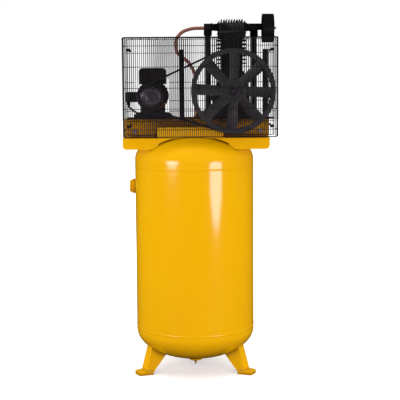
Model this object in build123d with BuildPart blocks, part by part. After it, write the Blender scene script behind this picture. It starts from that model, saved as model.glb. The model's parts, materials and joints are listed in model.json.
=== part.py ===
from build123d import *
import os
from math import cos, radians, sin, sqrt

# A two-stage piston air compressor on an upright tank: the pump and its motor stand on a
# pressed platform over the dome, inside a wire guard that covers the flywheel and belts.
# Millimetres. The origin is on the floor under the tank's axis, +Z is up, and the flywheel
# and the guard are on the -Y side.

# Tank
TANK_RADIUS = 309.0
TANK_WALL = 5.0
LOW_SEAM, HIGH_SEAM = 232.0, 1072.0
LOW_FLANGE, HIGH_FLANGE = 21.0, 36.0
HEAD_DEPTH = TANK_RADIUS / 2
LOW_HEAD_CENTRE = LOW_SEAM - LOW_FLANGE
HIGH_HEAD_CENTRE = HIGH_SEAM + HIGH_FLANGE
SIDE_PORT_HEIGHT = 964.0
SIDE_PORT_BORE = 26.0
SIDE_BOSS_RADIUS = 38.0
SIDE_BOSS_END = 325.0
OUTLET_HEIGHT = 905.0
OUTLET_END = 330.0
DRAIN_BOSS_LOW, DRAIN_BOSS_RADIUS = 32.0, 35.0
PIPE_BORE = 10.0
LEG_AZIMUTHS = (-150.0, -30.0, 90.0)
LEG_SHEET = 4.0
FOOT_THICKNESS, FOOT_RIM = 5.0, 18.0
FOOT_HOLE_CIRCLE = 660.0
FOOT_HOLE_RADIUS = 5.5

# Platform
DECK_LEFT, DECK_RIGHT = -358.0, 382.0
DECK_TOP = 1316.0
LEDGE_TOP = 1224.0
SKIRT_LOW = 1168.0
SKIRT_FRONT, DECK_WALL, DECK_BACK = -200.0, -92.0, 200.0
PLATE = 3.0
DOME_BOX_LEFT, DOME_BOX_RIGHT = -182.0, 151.0
DOME_BOX_FRONT, DOME_BOX_TOP = -196.0, 1278.0
DOME_GAP, ARCH_GAP, ARCH_HALF_WIDTH = 1.5, 9.0, 176.0

# Drive: the crankshaft and the motor shaft run front to back
PUMP_X, PUMP_Z = 198.0, 1460.0
MOTOR_X, MOTOR_Z = -212.0, 1433.0
SHEAVE_FRONT, SHEAVE_BACK = -250.0, -206.0
FLYWHEEL_RADIUS, FLYWHEEL_RIM = 210.0, 23.0
PULLEY_RADIUS = 64.0
BELT_LINES = (-237.5, -218.5)
BELT_TOP_WIDTH, BELT_LOW_WIDTH, BELT_HEIGHT = 14.0, 7.6, 9.0
BELT_SINK = 7.5
SHAFT_RADIUS = 17.0
MOTOR_SHAFT_RADIUS = 11.0
RUNNING_GAP = 0.05
BLADE_COUNT, BLADE_WIDTH, BLADE_THICKNESS, BLADE_PITCH = 8, 64.0, 7.0, 34.0

# Guard
GUARD_LEFT, GUARD_RIGHT = -344.0, 413.0
GUARD_LOW, GUARD_HIGH = 1235.0, 1724.0
GUARD_FRONT, GUARD_REAR = -276.0, -112.0
ROD_RADIUS = 4.0
WIRE = 3.0
WIRE_COUNT = 73
FRONT_LEVELS = (1271.0, 1373.0, 1476.0, 1580.0, 1683.0)
REAR_LEVELS = (1306.0, 1358.0, 1411.0, 1504.0, 1582.0, 1652.0)

# Pump
CYLINDER_Y = (-28.0, 78.0)
BORE_RADII = (44.0, 25.0)
CASE_FRONT, CASE_BACK = -95.0, 135.0
CASE_TOP, BLOCK_TOP, HEAD_BASE, HEAD_TOP = 1545.0, 1742.0, 1750.0, 1804.0
THROW = 35.0
PORT_Z = 1785.0
HEAD_HALF_WIDTH = 72.5

# Air path
FILTER_LEFT, FILTER_RIGHT, FILTER_RADIUS = 354.0, 413.0, 73.0
COOLER_LEFT, COOLER_RIGHT, COOLER_RADIUS = 75.0, 318.0, 15.5
COPPER_START, COPPER_RADIUS = 104.0, 9.0
CHECK_VALVE_X, CHECK_VALVE_Y = 14.0, 60.0

# Controls behind the platform
CONTROL_X, CONTROL_Y = -150.0, 245.0
CABLE_RADIUS = 5.0
SWITCH_INLET = 1262.0
UNLOADER_X, UNLOADER_INLET = -126.0, 1275.0
GROMMET_X, GROMMET_Y, GROMMET_RADIUS = -270.0, -77.0, 9.0

os.makedirs("parts", exist_ok=True)
pieces = {}

UP = (0, 0, 1)
BACK = (0, 1, 0)
RIGHT = (1, 0, 0)


def turn(point, direction, outline, mode=Mode.ADD):
    """Turns an outline of (radius, distance along the axis) corners about an axis."""
    axis_direction = Vector(*direction)
    radial = Vector(1, 0, 0) if axis_direction.Z > 0.5 else Vector(0, 0, 1)
    plane = Plane(origin=point, x_dir=radial, z_dir=radial.cross(axis_direction))
    with BuildSketch(plane) as profile:
        with BuildLine():
            Polyline(*outline, close=True)
        make_face()
    revolve(profile.sketch, axis=Axis(point, direction), mode=mode)


def rod(point, direction, radius, start, end, mode=Mode.ADD):
    """A plain round bar along an axis, from start to end."""
    turn(point, direction, [(0, start), (radius, start), (radius, end), (0, end)], mode)


def tube(point, direction, outer, inner, start, end, mode=Mode.ADD):
    """A round tube along an axis, from start to end."""
    turn(point, direction, [(inner, start), (outer, start), (outer, end), (inner, end)], mode)


def block(x_range, y_range, z_range, mode=Mode.ADD):
    """A block given by its two ends along X, Y and Z."""
    ranges = [sorted(ends) for ends in (x_range, y_range, z_range)]
    with Locations(Vector(*[sum(ends) / 2 for ends in ranges])):
        Box(*[high - low for low, high in ranges], mode=mode)


def head_body(centre_z, direction, growth=0.0, mode=Mode.ADD):
    """The solid half ellipsoid of a tank head: direction is 1 for the top head, -1 for the bottom one."""
    across, deep = TANK_RADIUS + growth, HEAD_DEPTH + growth
    tip = centre_z + direction * deep
    with BuildSketch(Plane.XZ) as profile:
        with BuildLine():
            EllipticalCenterArc((0, centre_z), across, deep, start_angle=45 * direction - 45, arc_size=90)
            Line((0, tip), (0, centre_z))
            Line((0, centre_z), (across, centre_z))
        make_face()
    revolve(profile.sketch, axis=Axis.Z, mode=mode)


def tube_path(points, radii, radius):
    """A bent bar of round section along straight runs joined by arcs."""
    with BuildLine():
        route = FilletPolyline(*points, radius=radii)
    with BuildSketch(Plane(origin=route @ 0, z_dir=route % 0)) as section:
        Circle(radius)
    sweep(section.sketch, path=route)


def front_plane(y):
    """The upright plane at this y, seen from the front: its first axis is X and its second is Z."""
    return Plane.XZ.offset(-y)


# ---- Tank ------------------------------------------------------------------------------

BEAD = 1.5
with BuildPart() as tank_shell:
    turn((0, 0, 0), UP, [
        (TANK_RADIUS - TANK_WALL, LOW_SEAM), (TANK_RADIUS, LOW_SEAM),
        (TANK_RADIUS + BEAD, LOW_SEAM + 3), (TANK_RADIUS + BEAD, LOW_SEAM + 9), (TANK_RADIUS, LOW_SEAM + 12),
        (TANK_RADIUS, HIGH_SEAM - 12), (TANK_RADIUS + BEAD, HIGH_SEAM - 9),
        (TANK_RADIUS + BEAD, HIGH_SEAM - 3), (TANK_RADIUS, HIGH_SEAM), (TANK_RADIUS - TANK_WALL, HIGH_SEAM),
    ])
    rod((0, 0, SIDE_PORT_HEIGHT), RIGHT, SIDE_PORT_BORE, -TANK_RADIUS - 9, -TANK_RADIUS / 2, Mode.SUBTRACT)
    rod((0, 0, OUTLET_HEIGHT), BACK, PIPE_BORE, TANK_RADIUS / 2, TANK_RADIUS + 9, Mode.SUBTRACT)
pieces["tank_shell"] = tank_shell

with BuildPart() as tank_top_head:
    head_body(HIGH_HEAD_CENTRE, 1)
    rod((0, 0, 0), UP, TANK_RADIUS, HIGH_SEAM, HIGH_HEAD_CENTRE)
    head_body(HIGH_HEAD_CENTRE, 1, -TANK_WALL, Mode.SUBTRACT)
    rod((0, 0, 0), UP, TANK_RADIUS - TANK_WALL, HIGH_SEAM, HIGH_HEAD_CENTRE, Mode.SUBTRACT)
    for x, y in ((CHECK_VALVE_X, CHECK_VALVE_Y), (CONTROL_X, CONTROL_Y)):
        rod((x, y, 0), UP, PIPE_BORE, HIGH_SEAM, HEAD_BASE, Mode.SUBTRACT)
pieces["tank_top_head"] = tank_top_head

with BuildPart() as tank_bottom_head:
    head_body(LOW_HEAD_CENTRE, -1)
    rod((0, 0, 0), UP, TANK_RADIUS, LOW_HEAD_CENTRE, LOW_SEAM)
    head_body(LOW_HEAD_CENTRE, -1, -TANK_WALL, Mode.SUBTRACT)
    rod((0, 0, 0), UP, TANK_RADIUS - TANK_WALL, LOW_HEAD_CENTRE, LOW_SEAM, Mode.SUBTRACT)
    rod((0, 0, 0), UP, PIPE_BORE, 0, LOW_HEAD_CENTRE, Mode.SUBTRACT)
pieces["tank_bottom_head"] = tank_bottom_head

# Welded couplings: side port, outlet, drain, and the two on the top head.
CHECK_SEAT, CONTROL_SEAT = 1272.0, 1186.0
with BuildPart() as tank_couplings:
    tube((0, 0, SIDE_PORT_HEIGHT), RIGHT, SIDE_BOSS_RADIUS, SIDE_PORT_BORE, -SIDE_BOSS_END, -TANK_RADIUS / 2)
    tube((0, 0, OUTLET_HEIGHT), BACK, 19, PIPE_BORE, TANK_RADIUS / 2, OUTLET_END)
    rod((0, 0, 0), UP, TANK_RADIUS, LOW_SEAM + 15, HIGH_SEAM - 15, Mode.SUBTRACT)
    tube((0, 0, 0), UP, DRAIN_BOSS_RADIUS, PIPE_BORE, DRAIN_BOSS_LOW, LOW_HEAD_CENTRE - HEAD_DEPTH / 2)
    head_body(LOW_HEAD_CENTRE, -1, 0, Mode.SUBTRACT)
    for x, y, seat in ((CHECK_VALVE_X, CHECK_VALVE_Y, CHECK_SEAT), (CONTROL_X, CONTROL_Y, CONTROL_SEAT)):
        tube((x, y, 0), UP, 19, PIPE_BORE, HIGH_HEAD_CENTRE, seat)
    head_body(HIGH_HEAD_CENTRE, 1, 0, Mode.SUBTRACT)
pieces["tank_couplings"] = tank_couplings

with BuildPart() as side_port_plug:
    turn((0, 0, SIDE_PORT_HEIGHT), RIGHT, [
        (0, -TANK_RADIUS), (SIDE_PORT_BORE, -TANK_RADIUS), (SIDE_PORT_BORE, -SIDE_BOSS_END),
        (32, -SIDE_BOSS_END), (32, -SIDE_BOSS_END - 9), (28, -SIDE_BOSS_END - 13), (0, -SIDE_BOSS_END - 13),
    ])
    block((-SIDE_BOSS_END - 20, -SIDE_BOSS_END - 4), (-9, 9),
          (SIDE_PORT_HEIGHT - 9, SIDE_PORT_HEIGHT + 9), Mode.SUBTRACT)
pieces["side_port_plug"] = side_port_plug

# Pressed channel legs: a web that faces outward, and two wings that reach in under the head.
LEG_SECTIONS = ((FOOT_THICKNESS, 311.0, 37.0), (185.0, 260.0, 138.0))
WEB_HALF_WIDTH, WING_SPLAY = 28.0, 0.12
with BuildPart() as tank_legs:
    for azimuth in LEG_AZIMUTHS:
        outward = Vector(cos(radians(azimuth)), sin(radians(azimuth)), 0)
        sections = []
        for height, web, wing in LEG_SECTIONS:
            tip = WEB_HALF_WIDTH + WING_SPLAY * wing
            inner, inner_half = web - LEG_SHEET, WEB_HALF_WIDTH - LEG_SHEET
            with BuildSketch(Plane(origin=(0, 0, height), x_dir=outward, z_dir=(0, 0, 1))) as section:
                with BuildLine():
                    Polyline((web, -WEB_HALF_WIDTH), (web, WEB_HALF_WIDTH), (web - wing, tip),
                             (web - wing, tip - LEG_SHEET), (inner, inner_half), (inner, -inner_half),
                             (web - wing, LEG_SHEET - tip), (web - wing, -tip), close=True)
                make_face()
            sections.append(section.sketch)
        # The foot is a shallow pan: a bolted plate inside a rim that is turned up.
        pan = Plane(origin=(0, 0, 0), x_dir=outward, z_dir=(0, 0, 1))
        with BuildSketch(pan) as foot:
            with BuildLine():
                Polyline((274, -42), (318, -33), (340, -31), (347, -24), (347, 24), (340, 31), (318, 33),
                         (274, 42), close=True)
            make_face()
        extrude(foot.sketch, amount=FOOT_RIM)
        with BuildSketch(pan.offset(FOOT_THICKNESS)) as pocket:
            add(offset(foot.sketch, -LEG_SHEET, kind=Kind.INTERSECTION))
        extrude(pocket.sketch, amount=FOOT_RIM, mode=Mode.SUBTRACT)
        with BuildSketch(pan) as bolt_hole:
            with Locations((FOOT_HOLE_CIRCLE / 2, 0)):
                Circle(FOOT_HOLE_RADIUS)
        extrude(bolt_hole.sketch, amount=FOOT_THICKNESS, mode=Mode.SUBTRACT)
        loft(sections)
    head_body(LOW_HEAD_CENTRE, -1, 0, Mode.SUBTRACT)
pieces["tank_legs"] = tank_legs

DRAIN_TIP = 16.0
with BuildPart() as drain_cock_body:
    turn((0, 0, 0), UP, [(0, DRAIN_TIP), (5, DRAIN_TIP), (5, 22), (11, 22), (11, DRAIN_BOSS_LOW),
                         (PIPE_BORE, DRAIN_BOSS_LOW), (PIPE_BORE, 46), (0, 46)])
    rod((0, 0, 27), BACK, 4, 8, 20)
pieces["drain_cock_body"] = drain_cock_body

with BuildPart() as drain_cock_handle:
    rod((0, 0, 0), UP, 4, 8, DRAIN_TIP)
    block((-1.5, 1.5), (-13, 13), (6, 14))
pieces["drain_cock_handle"] = drain_cock_handle

with BuildPart() as check_valve:
    with BuildSketch(Plane.XY.offset(CHECK_SEAT)):
        with Locations((CHECK_VALVE_X, CHECK_VALVE_Y)):
            RegularPolygon(17, 6)
    extrude(amount=54)
    rod((CHECK_VALVE_X, CHECK_VALVE_Y, 0), UP, PIPE_BORE, 1258, CHECK_SEAT)
    turn((CHECK_VALVE_X, CHECK_VALVE_Y, 0), UP,
         [(0, 1326), (13, 1326), (13, 1338), (COPPER_RADIUS + 4, 1350), (0, 1350)])
pieces["check_valve"] = check_valve

# ---- Platform --------------------------------------------------------------------------

deck_span = (DECK_LEFT, DECK_RIGHT)
with BuildPart() as platform:
    block(deck_span, (DECK_WALL, DECK_BACK), (DECK_TOP - PLATE, DECK_TOP))
    block(deck_span, (DECK_WALL, DECK_WALL + PLATE), (LEDGE_TOP - PLATE, DECK_TOP))
    block(deck_span, (DECK_BACK - PLATE, DECK_BACK), (SKIRT_LOW, DECK_TOP))
    fillet(platform.edges().filter_by(Axis.X).group_by(Axis.Z)[-1], PLATE * 0.8)
    fillet(platform.edges().filter_by(Axis.Y).group_by(Axis.Z)[0], 20)
    rod((CHECK_VALVE_X, CHECK_VALVE_Y, 0), UP, 22, HIGH_SEAM, HEAD_BASE, Mode.SUBTRACT)
    rod((GROMMET_X, GROMMET_Y, 0), UP, GROMMET_RADIUS, DECK_TOP - 9, DECK_TOP + 9, Mode.SUBTRACT)
    rod((CONTROL_X, 0, SWITCH_INLET), BACK, GROMMET_RADIUS, DECK_BACK - 20, DECK_BACK + 20, Mode.SUBTRACT)
    rod((UNLOADER_X, 0, UNLOADER_INLET), BACK, 5, DECK_BACK - 20, DECK_BACK + 20, Mode.SUBTRACT)
    block(deck_span, (SKIRT_FRONT, SKIRT_FRONT + PLATE), (SKIRT_LOW, LEDGE_TOP))
    front_corners = platform.edges().filter_by(Axis.Y).group_by(Axis.Z)[0].group_by(Axis.Y)[0]
    fillet(front_corners.filter_by_position(Axis.Z, SKIRT_LOW - 1, SKIRT_LOW + 1), 20)
    block(deck_span, (SKIRT_FRONT, DECK_WALL), (LEDGE_TOP - PLATE, LEDGE_TOP))
    block((DOME_BOX_LEFT, DOME_BOX_RIGHT), (DOME_BOX_FRONT, DECK_WALL), (LEDGE_TOP, DOME_BOX_TOP))
    block((DOME_BOX_LEFT + PLATE, DOME_BOX_RIGHT - PLATE), (DOME_BOX_FRONT + PLATE, DECK_WALL),
          (LEDGE_TOP - PLATE, DOME_BOX_TOP - PLATE), Mode.SUBTRACT)
    head_body(HIGH_HEAD_CENTRE, 1, DOME_GAP, Mode.SUBTRACT)
    # In the middle of the front skirt the arch stands off from the dome.
    with BuildPart(mode=Mode.PRIVATE) as arch:
        head_body(HIGH_HEAD_CENTRE, 1, ARCH_GAP)
        block((-ARCH_HALF_WIDTH, ARCH_HALF_WIDTH), (SKIRT_FRONT - 9, DECK_WALL - 9), (SKIRT_LOW, LEDGE_TOP),
              Mode.INTERSECT)
    add(arch.part, mode=Mode.SUBTRACT)
pieces["platform"] = platform

with BuildPart() as deck_bolts:
    for x, z in ((-301, 1255), (0, 1297), (341, 1254)):
        tube((x, 0, z), BACK, 12, 6, DECK_WALL - 2, DECK_WALL)
        with BuildSketch(front_plane(DECK_WALL - 2)):
            with Locations((x, z)):
                RegularPolygon(9, 6)
        extrude(amount=7)
pieces["deck_bolts"] = deck_bolts

# ---- Wire guard ------------------------------------------------------------------------

guard_width = GUARD_RIGHT - GUARD_LEFT
guard_height = GUARD_HIGH - GUARD_LOW
guard_centre = ((GUARD_LEFT + GUARD_RIGHT) / 2, (GUARD_LOW + GUARD_HIGH) / 2)
wire_pitch = guard_width / (WIRE_COUNT + 1)


def guard_rim(y):
    """The bent rod round one face of the guard."""
    with BuildLine():
        rim = FilletPolyline((GUARD_LEFT, y, GUARD_LOW), (GUARD_LEFT, y, GUARD_HIGH),
                             (GUARD_RIGHT, y, GUARD_HIGH), (GUARD_RIGHT, y, GUARD_LOW), radius=12, close=True)
    with BuildSketch(Plane(origin=rim @ 0, z_dir=rim % 0)) as section:
        Circle(ROD_RADIUS)
    sweep(section.sketch, path=rim)


def wire_screen(plane, width, height, count, levels):
    """A flat welded screen inside a rim: upright wires at an even pitch, and cross wires at the levels."""
    inner_width, inner_height = width - 2 * ROD_RADIUS, height - 2 * ROD_RADIUS
    with BuildSketch(plane) as screen:
        with GridLocations(width / (count + 1), 1, count, 1):
            Rectangle(WIRE, inner_height)
        with Locations(*[(0, level) for level in levels]):
            Rectangle(inner_width, WIRE)
    return screen.sketch


def face_plane(y):
    """An upright plane centred on the guard, at this y."""
    return Plane(origin=(guard_centre[0], y, guard_centre[1]), x_dir=(1, 0, 0), z_dir=(0, -1, 0))


with BuildPart() as guard_front:
    guard_rim(GUARD_FRONT)
    levels = [level - guard_centre[1] for level in FRONT_LEVELS]
    extrude(wire_screen(face_plane(GUARD_FRONT + WIRE / 2), guard_width, guard_height, WIRE_COUNT, levels),
            amount=WIRE)
pieces["guard_front"] = guard_front

# The rear screen is open round the motor, round the pump's nose, and over the dome box. A rail
# stiffens it at the deck.
RAIL_RADIUS = 5.0
with BuildPart() as guard_rear:
    guard_rim(GUARD_REAR)
    levels = [level - guard_centre[1] for level in REAR_LEVELS]
    extrude(wire_screen(face_plane(GUARD_REAR + WIRE / 2), guard_width, guard_height, WIRE_COUNT, levels),
            amount=WIRE)
    depth = (GUARD_REAR - 9, GUARD_REAR + 9)
    block((MOTOR_X - 86, MOTOR_X + 86), depth, (MOTOR_Z - 110, MOTOR_Z + 88), Mode.SUBTRACT)
    block((PUMP_X - 72, PUMP_X + 72), depth, (PUMP_Z - 72, PUMP_Z + 72), Mode.SUBTRACT)
    block((DOME_BOX_LEFT - 4, DOME_BOX_RIGHT + 4), depth, (1200, DOME_BOX_TOP + 4), Mode.SUBTRACT)
    rod((0, GUARD_REAR, DECK_TOP + RAIL_RADIUS), RIGHT, RAIL_RADIUS, GUARD_LEFT, GUARD_RIGHT)
pieces["guard_rear"] = guard_rear

guard_depth = GUARD_REAR - GUARD_FRONT
guard_middle = (GUARD_FRONT + GUARD_REAR) / 2
SIDE_WIRES = 3
with BuildPart() as guard_side_meshes:
    levels = [level - guard_centre[1] for level in FRONT_LEVELS]
    for x in (GUARD_LEFT + WIRE / 2, GUARD_RIGHT + WIRE / 2):
        side = Plane(origin=(x, guard_middle, guard_centre[1]), x_dir=(0, 1, 0), z_dir=(-1, 0, 0))
        extrude(wire_screen(side, guard_depth, guard_height, SIDE_WIRES, levels), amount=WIRE)
    top = Plane(origin=(guard_centre[0], guard_middle, GUARD_HIGH - WIRE / 2))
    with BuildSketch(top) as lid:
        with GridLocations(wire_pitch * 2, 1, WIRE_COUNT // 2, 1):
            Rectangle(WIRE, guard_depth - 2 * ROD_RADIUS)
        with GridLocations(1, guard_depth / 4, 1, 3):
            Rectangle(guard_width - 2 * ROD_RADIUS, WIRE)
    extrude(lid.sketch, amount=WIRE)
pieces["guard_side_meshes"] = guard_side_meshes

POST_WIDTH, POST_THICKNESS, POST_TOP = 28.0, 5.0, 1670.0
with BuildPart() as guard_posts:
    for x in (-60, 367):
        width = (x - POST_WIDTH / 2, x + POST_WIDTH / 2)
        block(width, (DECK_WALL - POST_THICKNESS, DECK_WALL), (DECK_TOP, POST_TOP))
        block(width, (DECK_WALL - POST_THICKNESS, DECK_WALL + 32), (DECK_TOP, DECK_TOP + POST_THICKNESS))
pieces["guard_posts"] = guard_posts

# The clips' spacers pass midway between two upright wires.
CLIP_LEVELS = (1288.0, 1663.0)
CLIP_HALF_WIDTH = 11.0
clip_reach = (WIRE_COUNT // 2 - 1.5) * wire_pitch
clip_places = [(guard_centre[0] + side * clip_reach, z) for side in (-1, 1) for z in CLIP_LEVELS]
with BuildPart() as guard_clips:
    for x, z in clip_places:
        rod((x, 0, z), BACK, 3, GUARD_FRONT - 1.5, GUARD_REAR + 4)
        for y in (GUARD_FRONT - 3.5, GUARD_REAR + 1.5):
            block((x - CLIP_HALF_WIDTH, x + CLIP_HALF_WIDTH), (y, y + 2), (z - 8, z + 8))
pieces["guard_clips"] = guard_clips

# ---- Motor -----------------------------------------------------------------------------

MOTOR_FRONT, MOTOR_BACK = -100.0, 120.0
SHELL_RADIUS, SHELL_INNER = 78.0, 73.0
motor_axis = (MOTOR_X, 0, MOTOR_Z)

with BuildPart() as motor_shell:
    tube(motor_axis, BACK, SHELL_RADIUS, SHELL_INNER, MOTOR_FRONT, MOTOR_BACK)
pieces["motor_shell"] = motor_shell

# Both end bells are cast cups with a ring of air slots round the bearing boss.
with BuildPart() as motor_end_bells:
    journal = MOTOR_SHAFT_RADIUS + RUNNING_GAP
    turn(motor_axis, BACK, [
        (SHELL_INNER - 1, MOTOR_FRONT), (SHELL_RADIUS, MOTOR_FRONT), (SHELL_RADIUS, MOTOR_FRONT - 12),
        (64, MOTOR_FRONT - 34), (34, MOTOR_FRONT - 42), (30, MOTOR_FRONT - 52),
        (journal, MOTOR_FRONT - 52), (journal, MOTOR_FRONT - 30),
        (30, MOTOR_FRONT - 34), (58, MOTOR_FRONT - 28), (SHELL_INNER - 1, MOTOR_FRONT - 8),
    ])
    turn(motor_axis, BACK, [
        (SHELL_INNER - 1, MOTOR_BACK), (SHELL_RADIUS, MOTOR_BACK), (SHELL_RADIUS, MOTOR_BACK + 10),
        (66, MOTOR_BACK + 28), (0, MOTOR_BACK + 34), (0, MOTOR_BACK + 29),
        (20, MOTOR_BACK + 29), (20, MOTOR_BACK + 12), (28, MOTOR_BACK + 12), (28, MOTOR_BACK + 27),
        (60, MOTOR_BACK + 22), (SHELL_INNER - 1, MOTOR_BACK + 6),
    ])
    with BuildSketch(front_plane(MOTOR_FRONT - 60)) as slots:
        with Locations((MOTOR_X, MOTOR_Z)):
            with PolarLocations(49, 12):
                SlotOverall(20, 7)
    extrude(slots.sketch, amount=-45, mode=Mode.SUBTRACT)
    with BuildSketch(front_plane(MOTOR_BACK + 50)) as slots:
        with Locations((MOTOR_X, MOTOR_Z)):
            with PolarLocations(48, 12):
                SlotOverall(22, 7)
    extrude(slots.sketch, amount=45, mode=Mode.SUBTRACT)
pieces["motor_end_bells"] = motor_end_bells

STATOR_BORE = 45.0
with BuildPart() as motor_stator:
    tube(motor_axis, BACK, SHELL_INNER, STATOR_BORE, -55, 75)
    tube(motor_axis, BACK, 66, 50, -80, -55)
    tube(motor_axis, BACK, 66, 50, 75, 100)
pieces["motor_stator"] = motor_stator

with BuildPart() as motor_rotor:
    rod(motor_axis, BACK, STATOR_BORE - 0.6, -55, 75)
    rod(motor_axis, BACK, MOTOR_SHAFT_RADIUS, SHEAVE_FRONT - 4, -55)
    rod(motor_axis, BACK, MOTOR_SHAFT_RADIUS, 75, MOTOR_BACK + 26)
    tube(motor_axis, BACK, 19, MOTOR_SHAFT_RADIUS - 1, MOTOR_BACK + 13, MOTOR_BACK + 26)
pieces["motor_rotor"] = motor_rotor


def belt_grooves(axis_point, radius):
    """Cuts the two V grooves in the edge of a belt wheel."""
    half_top, half_low = BELT_TOP_WIDTH / 2 + 0.4, BELT_LOW_WIDTH / 2 + 0.4
    floor = radius - BELT_SINK - BELT_HEIGHT + 5.0
    for line in BELT_LINES:
        turn(axis_point, BACK, [
            (floor - 1.5, line - half_low), (radius + 1, line - half_top - 0.6),
            (radius + 1, line + half_top + 0.6), (floor - 1.5, line + half_low),
        ], Mode.SUBTRACT)


with BuildPart() as motor_pulley:
    turn(motor_axis, BACK, [
        (MOTOR_SHAFT_RADIUS, SHEAVE_FRONT + 4), (20, SHEAVE_FRONT + 4), (20, SHEAVE_FRONT + 14),
        (40, SHEAVE_FRONT + 14), (44, SHEAVE_FRONT), (PULLEY_RADIUS, SHEAVE_FRONT),
        (PULLEY_RADIUS, SHEAVE_BACK), (44, SHEAVE_BACK), (40, SHEAVE_BACK - 14), (22, SHEAVE_BACK - 14),
        (22, SHEAVE_BACK + 8), (MOTOR_SHAFT_RADIUS, SHEAVE_BACK + 8),
    ])
    belt_grooves(motor_axis, PULLEY_RADIUS)
pieces["motor_pulley"] = motor_pulley

# The cradle stands on two slotted rails, and slides along them to tighten the belts.
RAIL_TOP = 1341.0
with BuildPart() as motor_base:
    block((MOTOR_X - 82, MOTOR_X + 82), (-60, 75), (RAIL_TOP, RAIL_TOP + 6))
    block((MOTOR_X - 62, MOTOR_X + 62), (-40, -30), (RAIL_TOP + 6, MOTOR_Z - 30))
    block((MOTOR_X - 62, MOTOR_X + 62), (45, 55), (RAIL_TOP + 6, MOTOR_Z - 30))
    rod(motor_axis, BACK, SHELL_RADIUS, -90, 90, Mode.SUBTRACT)
    with Locations((MOTOR_X - 70, -47.5, RAIL_TOP + 6), (MOTOR_X + 70, -47.5, RAIL_TOP + 6),
                   (MOTOR_X - 70, 62.5, RAIL_TOP + 6), (MOTOR_X + 70, 62.5, RAIL_TOP + 6)):
        CounterBoreHole(4.5, 8.5, 1.5)
pieces["motor_base"] = motor_base

with BuildPart() as motor_rails:
    for y in (-47.5, 62.5):
        block((MOTOR_X - 95, MOTOR_X + 95), (y - 17, y + 17), (DECK_TOP, RAIL_TOP))
        block((MOTOR_X - 100, MOTOR_X + 100), (y - 14, y + 14), (DECK_TOP - 1, RAIL_TOP - 3), Mode.SUBTRACT)
    with BuildSketch(Plane.XY.offset(RAIL_TOP - 4)):
        for x in (MOTOR_X - 70, MOTOR_X + 70):
            for y in (-47.5, 62.5):
                with Locations((x, y)):
                    SlotOverall(34, 9)
    extrude(amount=6, mode=Mode.SUBTRACT)
pieces["motor_rails"] = motor_rails

CAPACITOR_TOP = 1578.0
with BuildPart() as capacitor_cover:
    block((MOTOR_X - 68.5, MOTOR_X + 68.5), (-65, 65), (MOTOR_Z + 62, CAPACITOR_TOP))
    fillet(capacitor_cover.edges().filter_by(Axis.Y).group_by(Axis.Z)[-1], 20)
    fillet(capacitor_cover.faces().sort_by(Axis.Z)[-1].edges(), 4)
    block((MOTOR_X - 65, MOTOR_X + 65), (-61.5, 61.5), (MOTOR_Z, CAPACITOR_TOP - 24), Mode.SUBTRACT)
    rod(motor_axis, BACK, SHELL_RADIUS, -90, 90, Mode.SUBTRACT)
pieces["capacitor_cover"] = capacitor_cover

CONDUIT_LOW, CONDUIT_FRONT, CONDUIT_BACK = 1404.0, -88.0, -32.0
with BuildPart() as conduit_box:
    block((-349, -280), (CONDUIT_FRONT, CONDUIT_BACK), (CONDUIT_LOW, CONDUIT_LOW + 52))
    fillet(conduit_box.edges().filter_by(Axis.Y).group_by(Axis.X)[0], 8)
    block((-346, -310), (CONDUIT_FRONT + 3, CONDUIT_BACK - 3), (CONDUIT_LOW + 3, CONDUIT_LOW + 49),
          Mode.SUBTRACT)
    rod(motor_axis, BACK, SHELL_RADIUS, -110, 90, Mode.SUBTRACT)
    gland_bore = CABLE_RADIUS + 1.2
    tube((-334, -72, 0), UP, 10, gland_bore, CONDUIT_LOW - 14, CONDUIT_LOW)
    rod((-334, -72, 0), UP, gland_bore, CONDUIT_LOW - 1, CONDUIT_LOW + 4, Mode.SUBTRACT)
pieces["conduit_box"] = conduit_box

# The motor's lead: from the conduit box down to a grommet in the deck, under the deck to the
# back wall, and into the pressure switch.
CABLE_ROUTE = [(-334, -72, 1406), (-334, -72, 1380), (-300, -75, 1354), (-272, -77, 1337), (-270, -77, 1298),
               (-258, -50, 1278), (-234, 5, 1272), (-204, 62, 1268), (-174, 118, 1265), (-153, 165, 1262),
               (-150, 216, 1262)]
CABLE_BENDS = [20, 60, 30, 22, 60, 180, 300, 220, 90]
with BuildPart() as motor_cable:
    tube_path(CABLE_ROUTE, CABLE_BENDS, CABLE_RADIUS)
pieces["motor_cable"] = motor_cable

with BuildPart() as cable_grommets:
    bore, lip = CABLE_RADIUS + 1.2, GROMMET_RADIUS + 2
    for point, direction, face in (((GROMMET_X, GROMMET_Y, 0), UP, DECK_TOP),
                                   ((CONTROL_X, 0, SWITCH_INLET), BACK, DECK_BACK)):
        turn(point, direction, [
            (bore, face - PLATE - 3), (lip, face - PLATE - 3), (lip, face - PLATE),
            (GROMMET_RADIUS, face - PLATE), (GROMMET_RADIUS, face), (lip, face), (lip - 1, face + 3),
            (bore, face + 3)])
pieces["cable_grommets"] = cable_grommets

# ---- Pump ------------------------------------------------------------------------------

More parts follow.
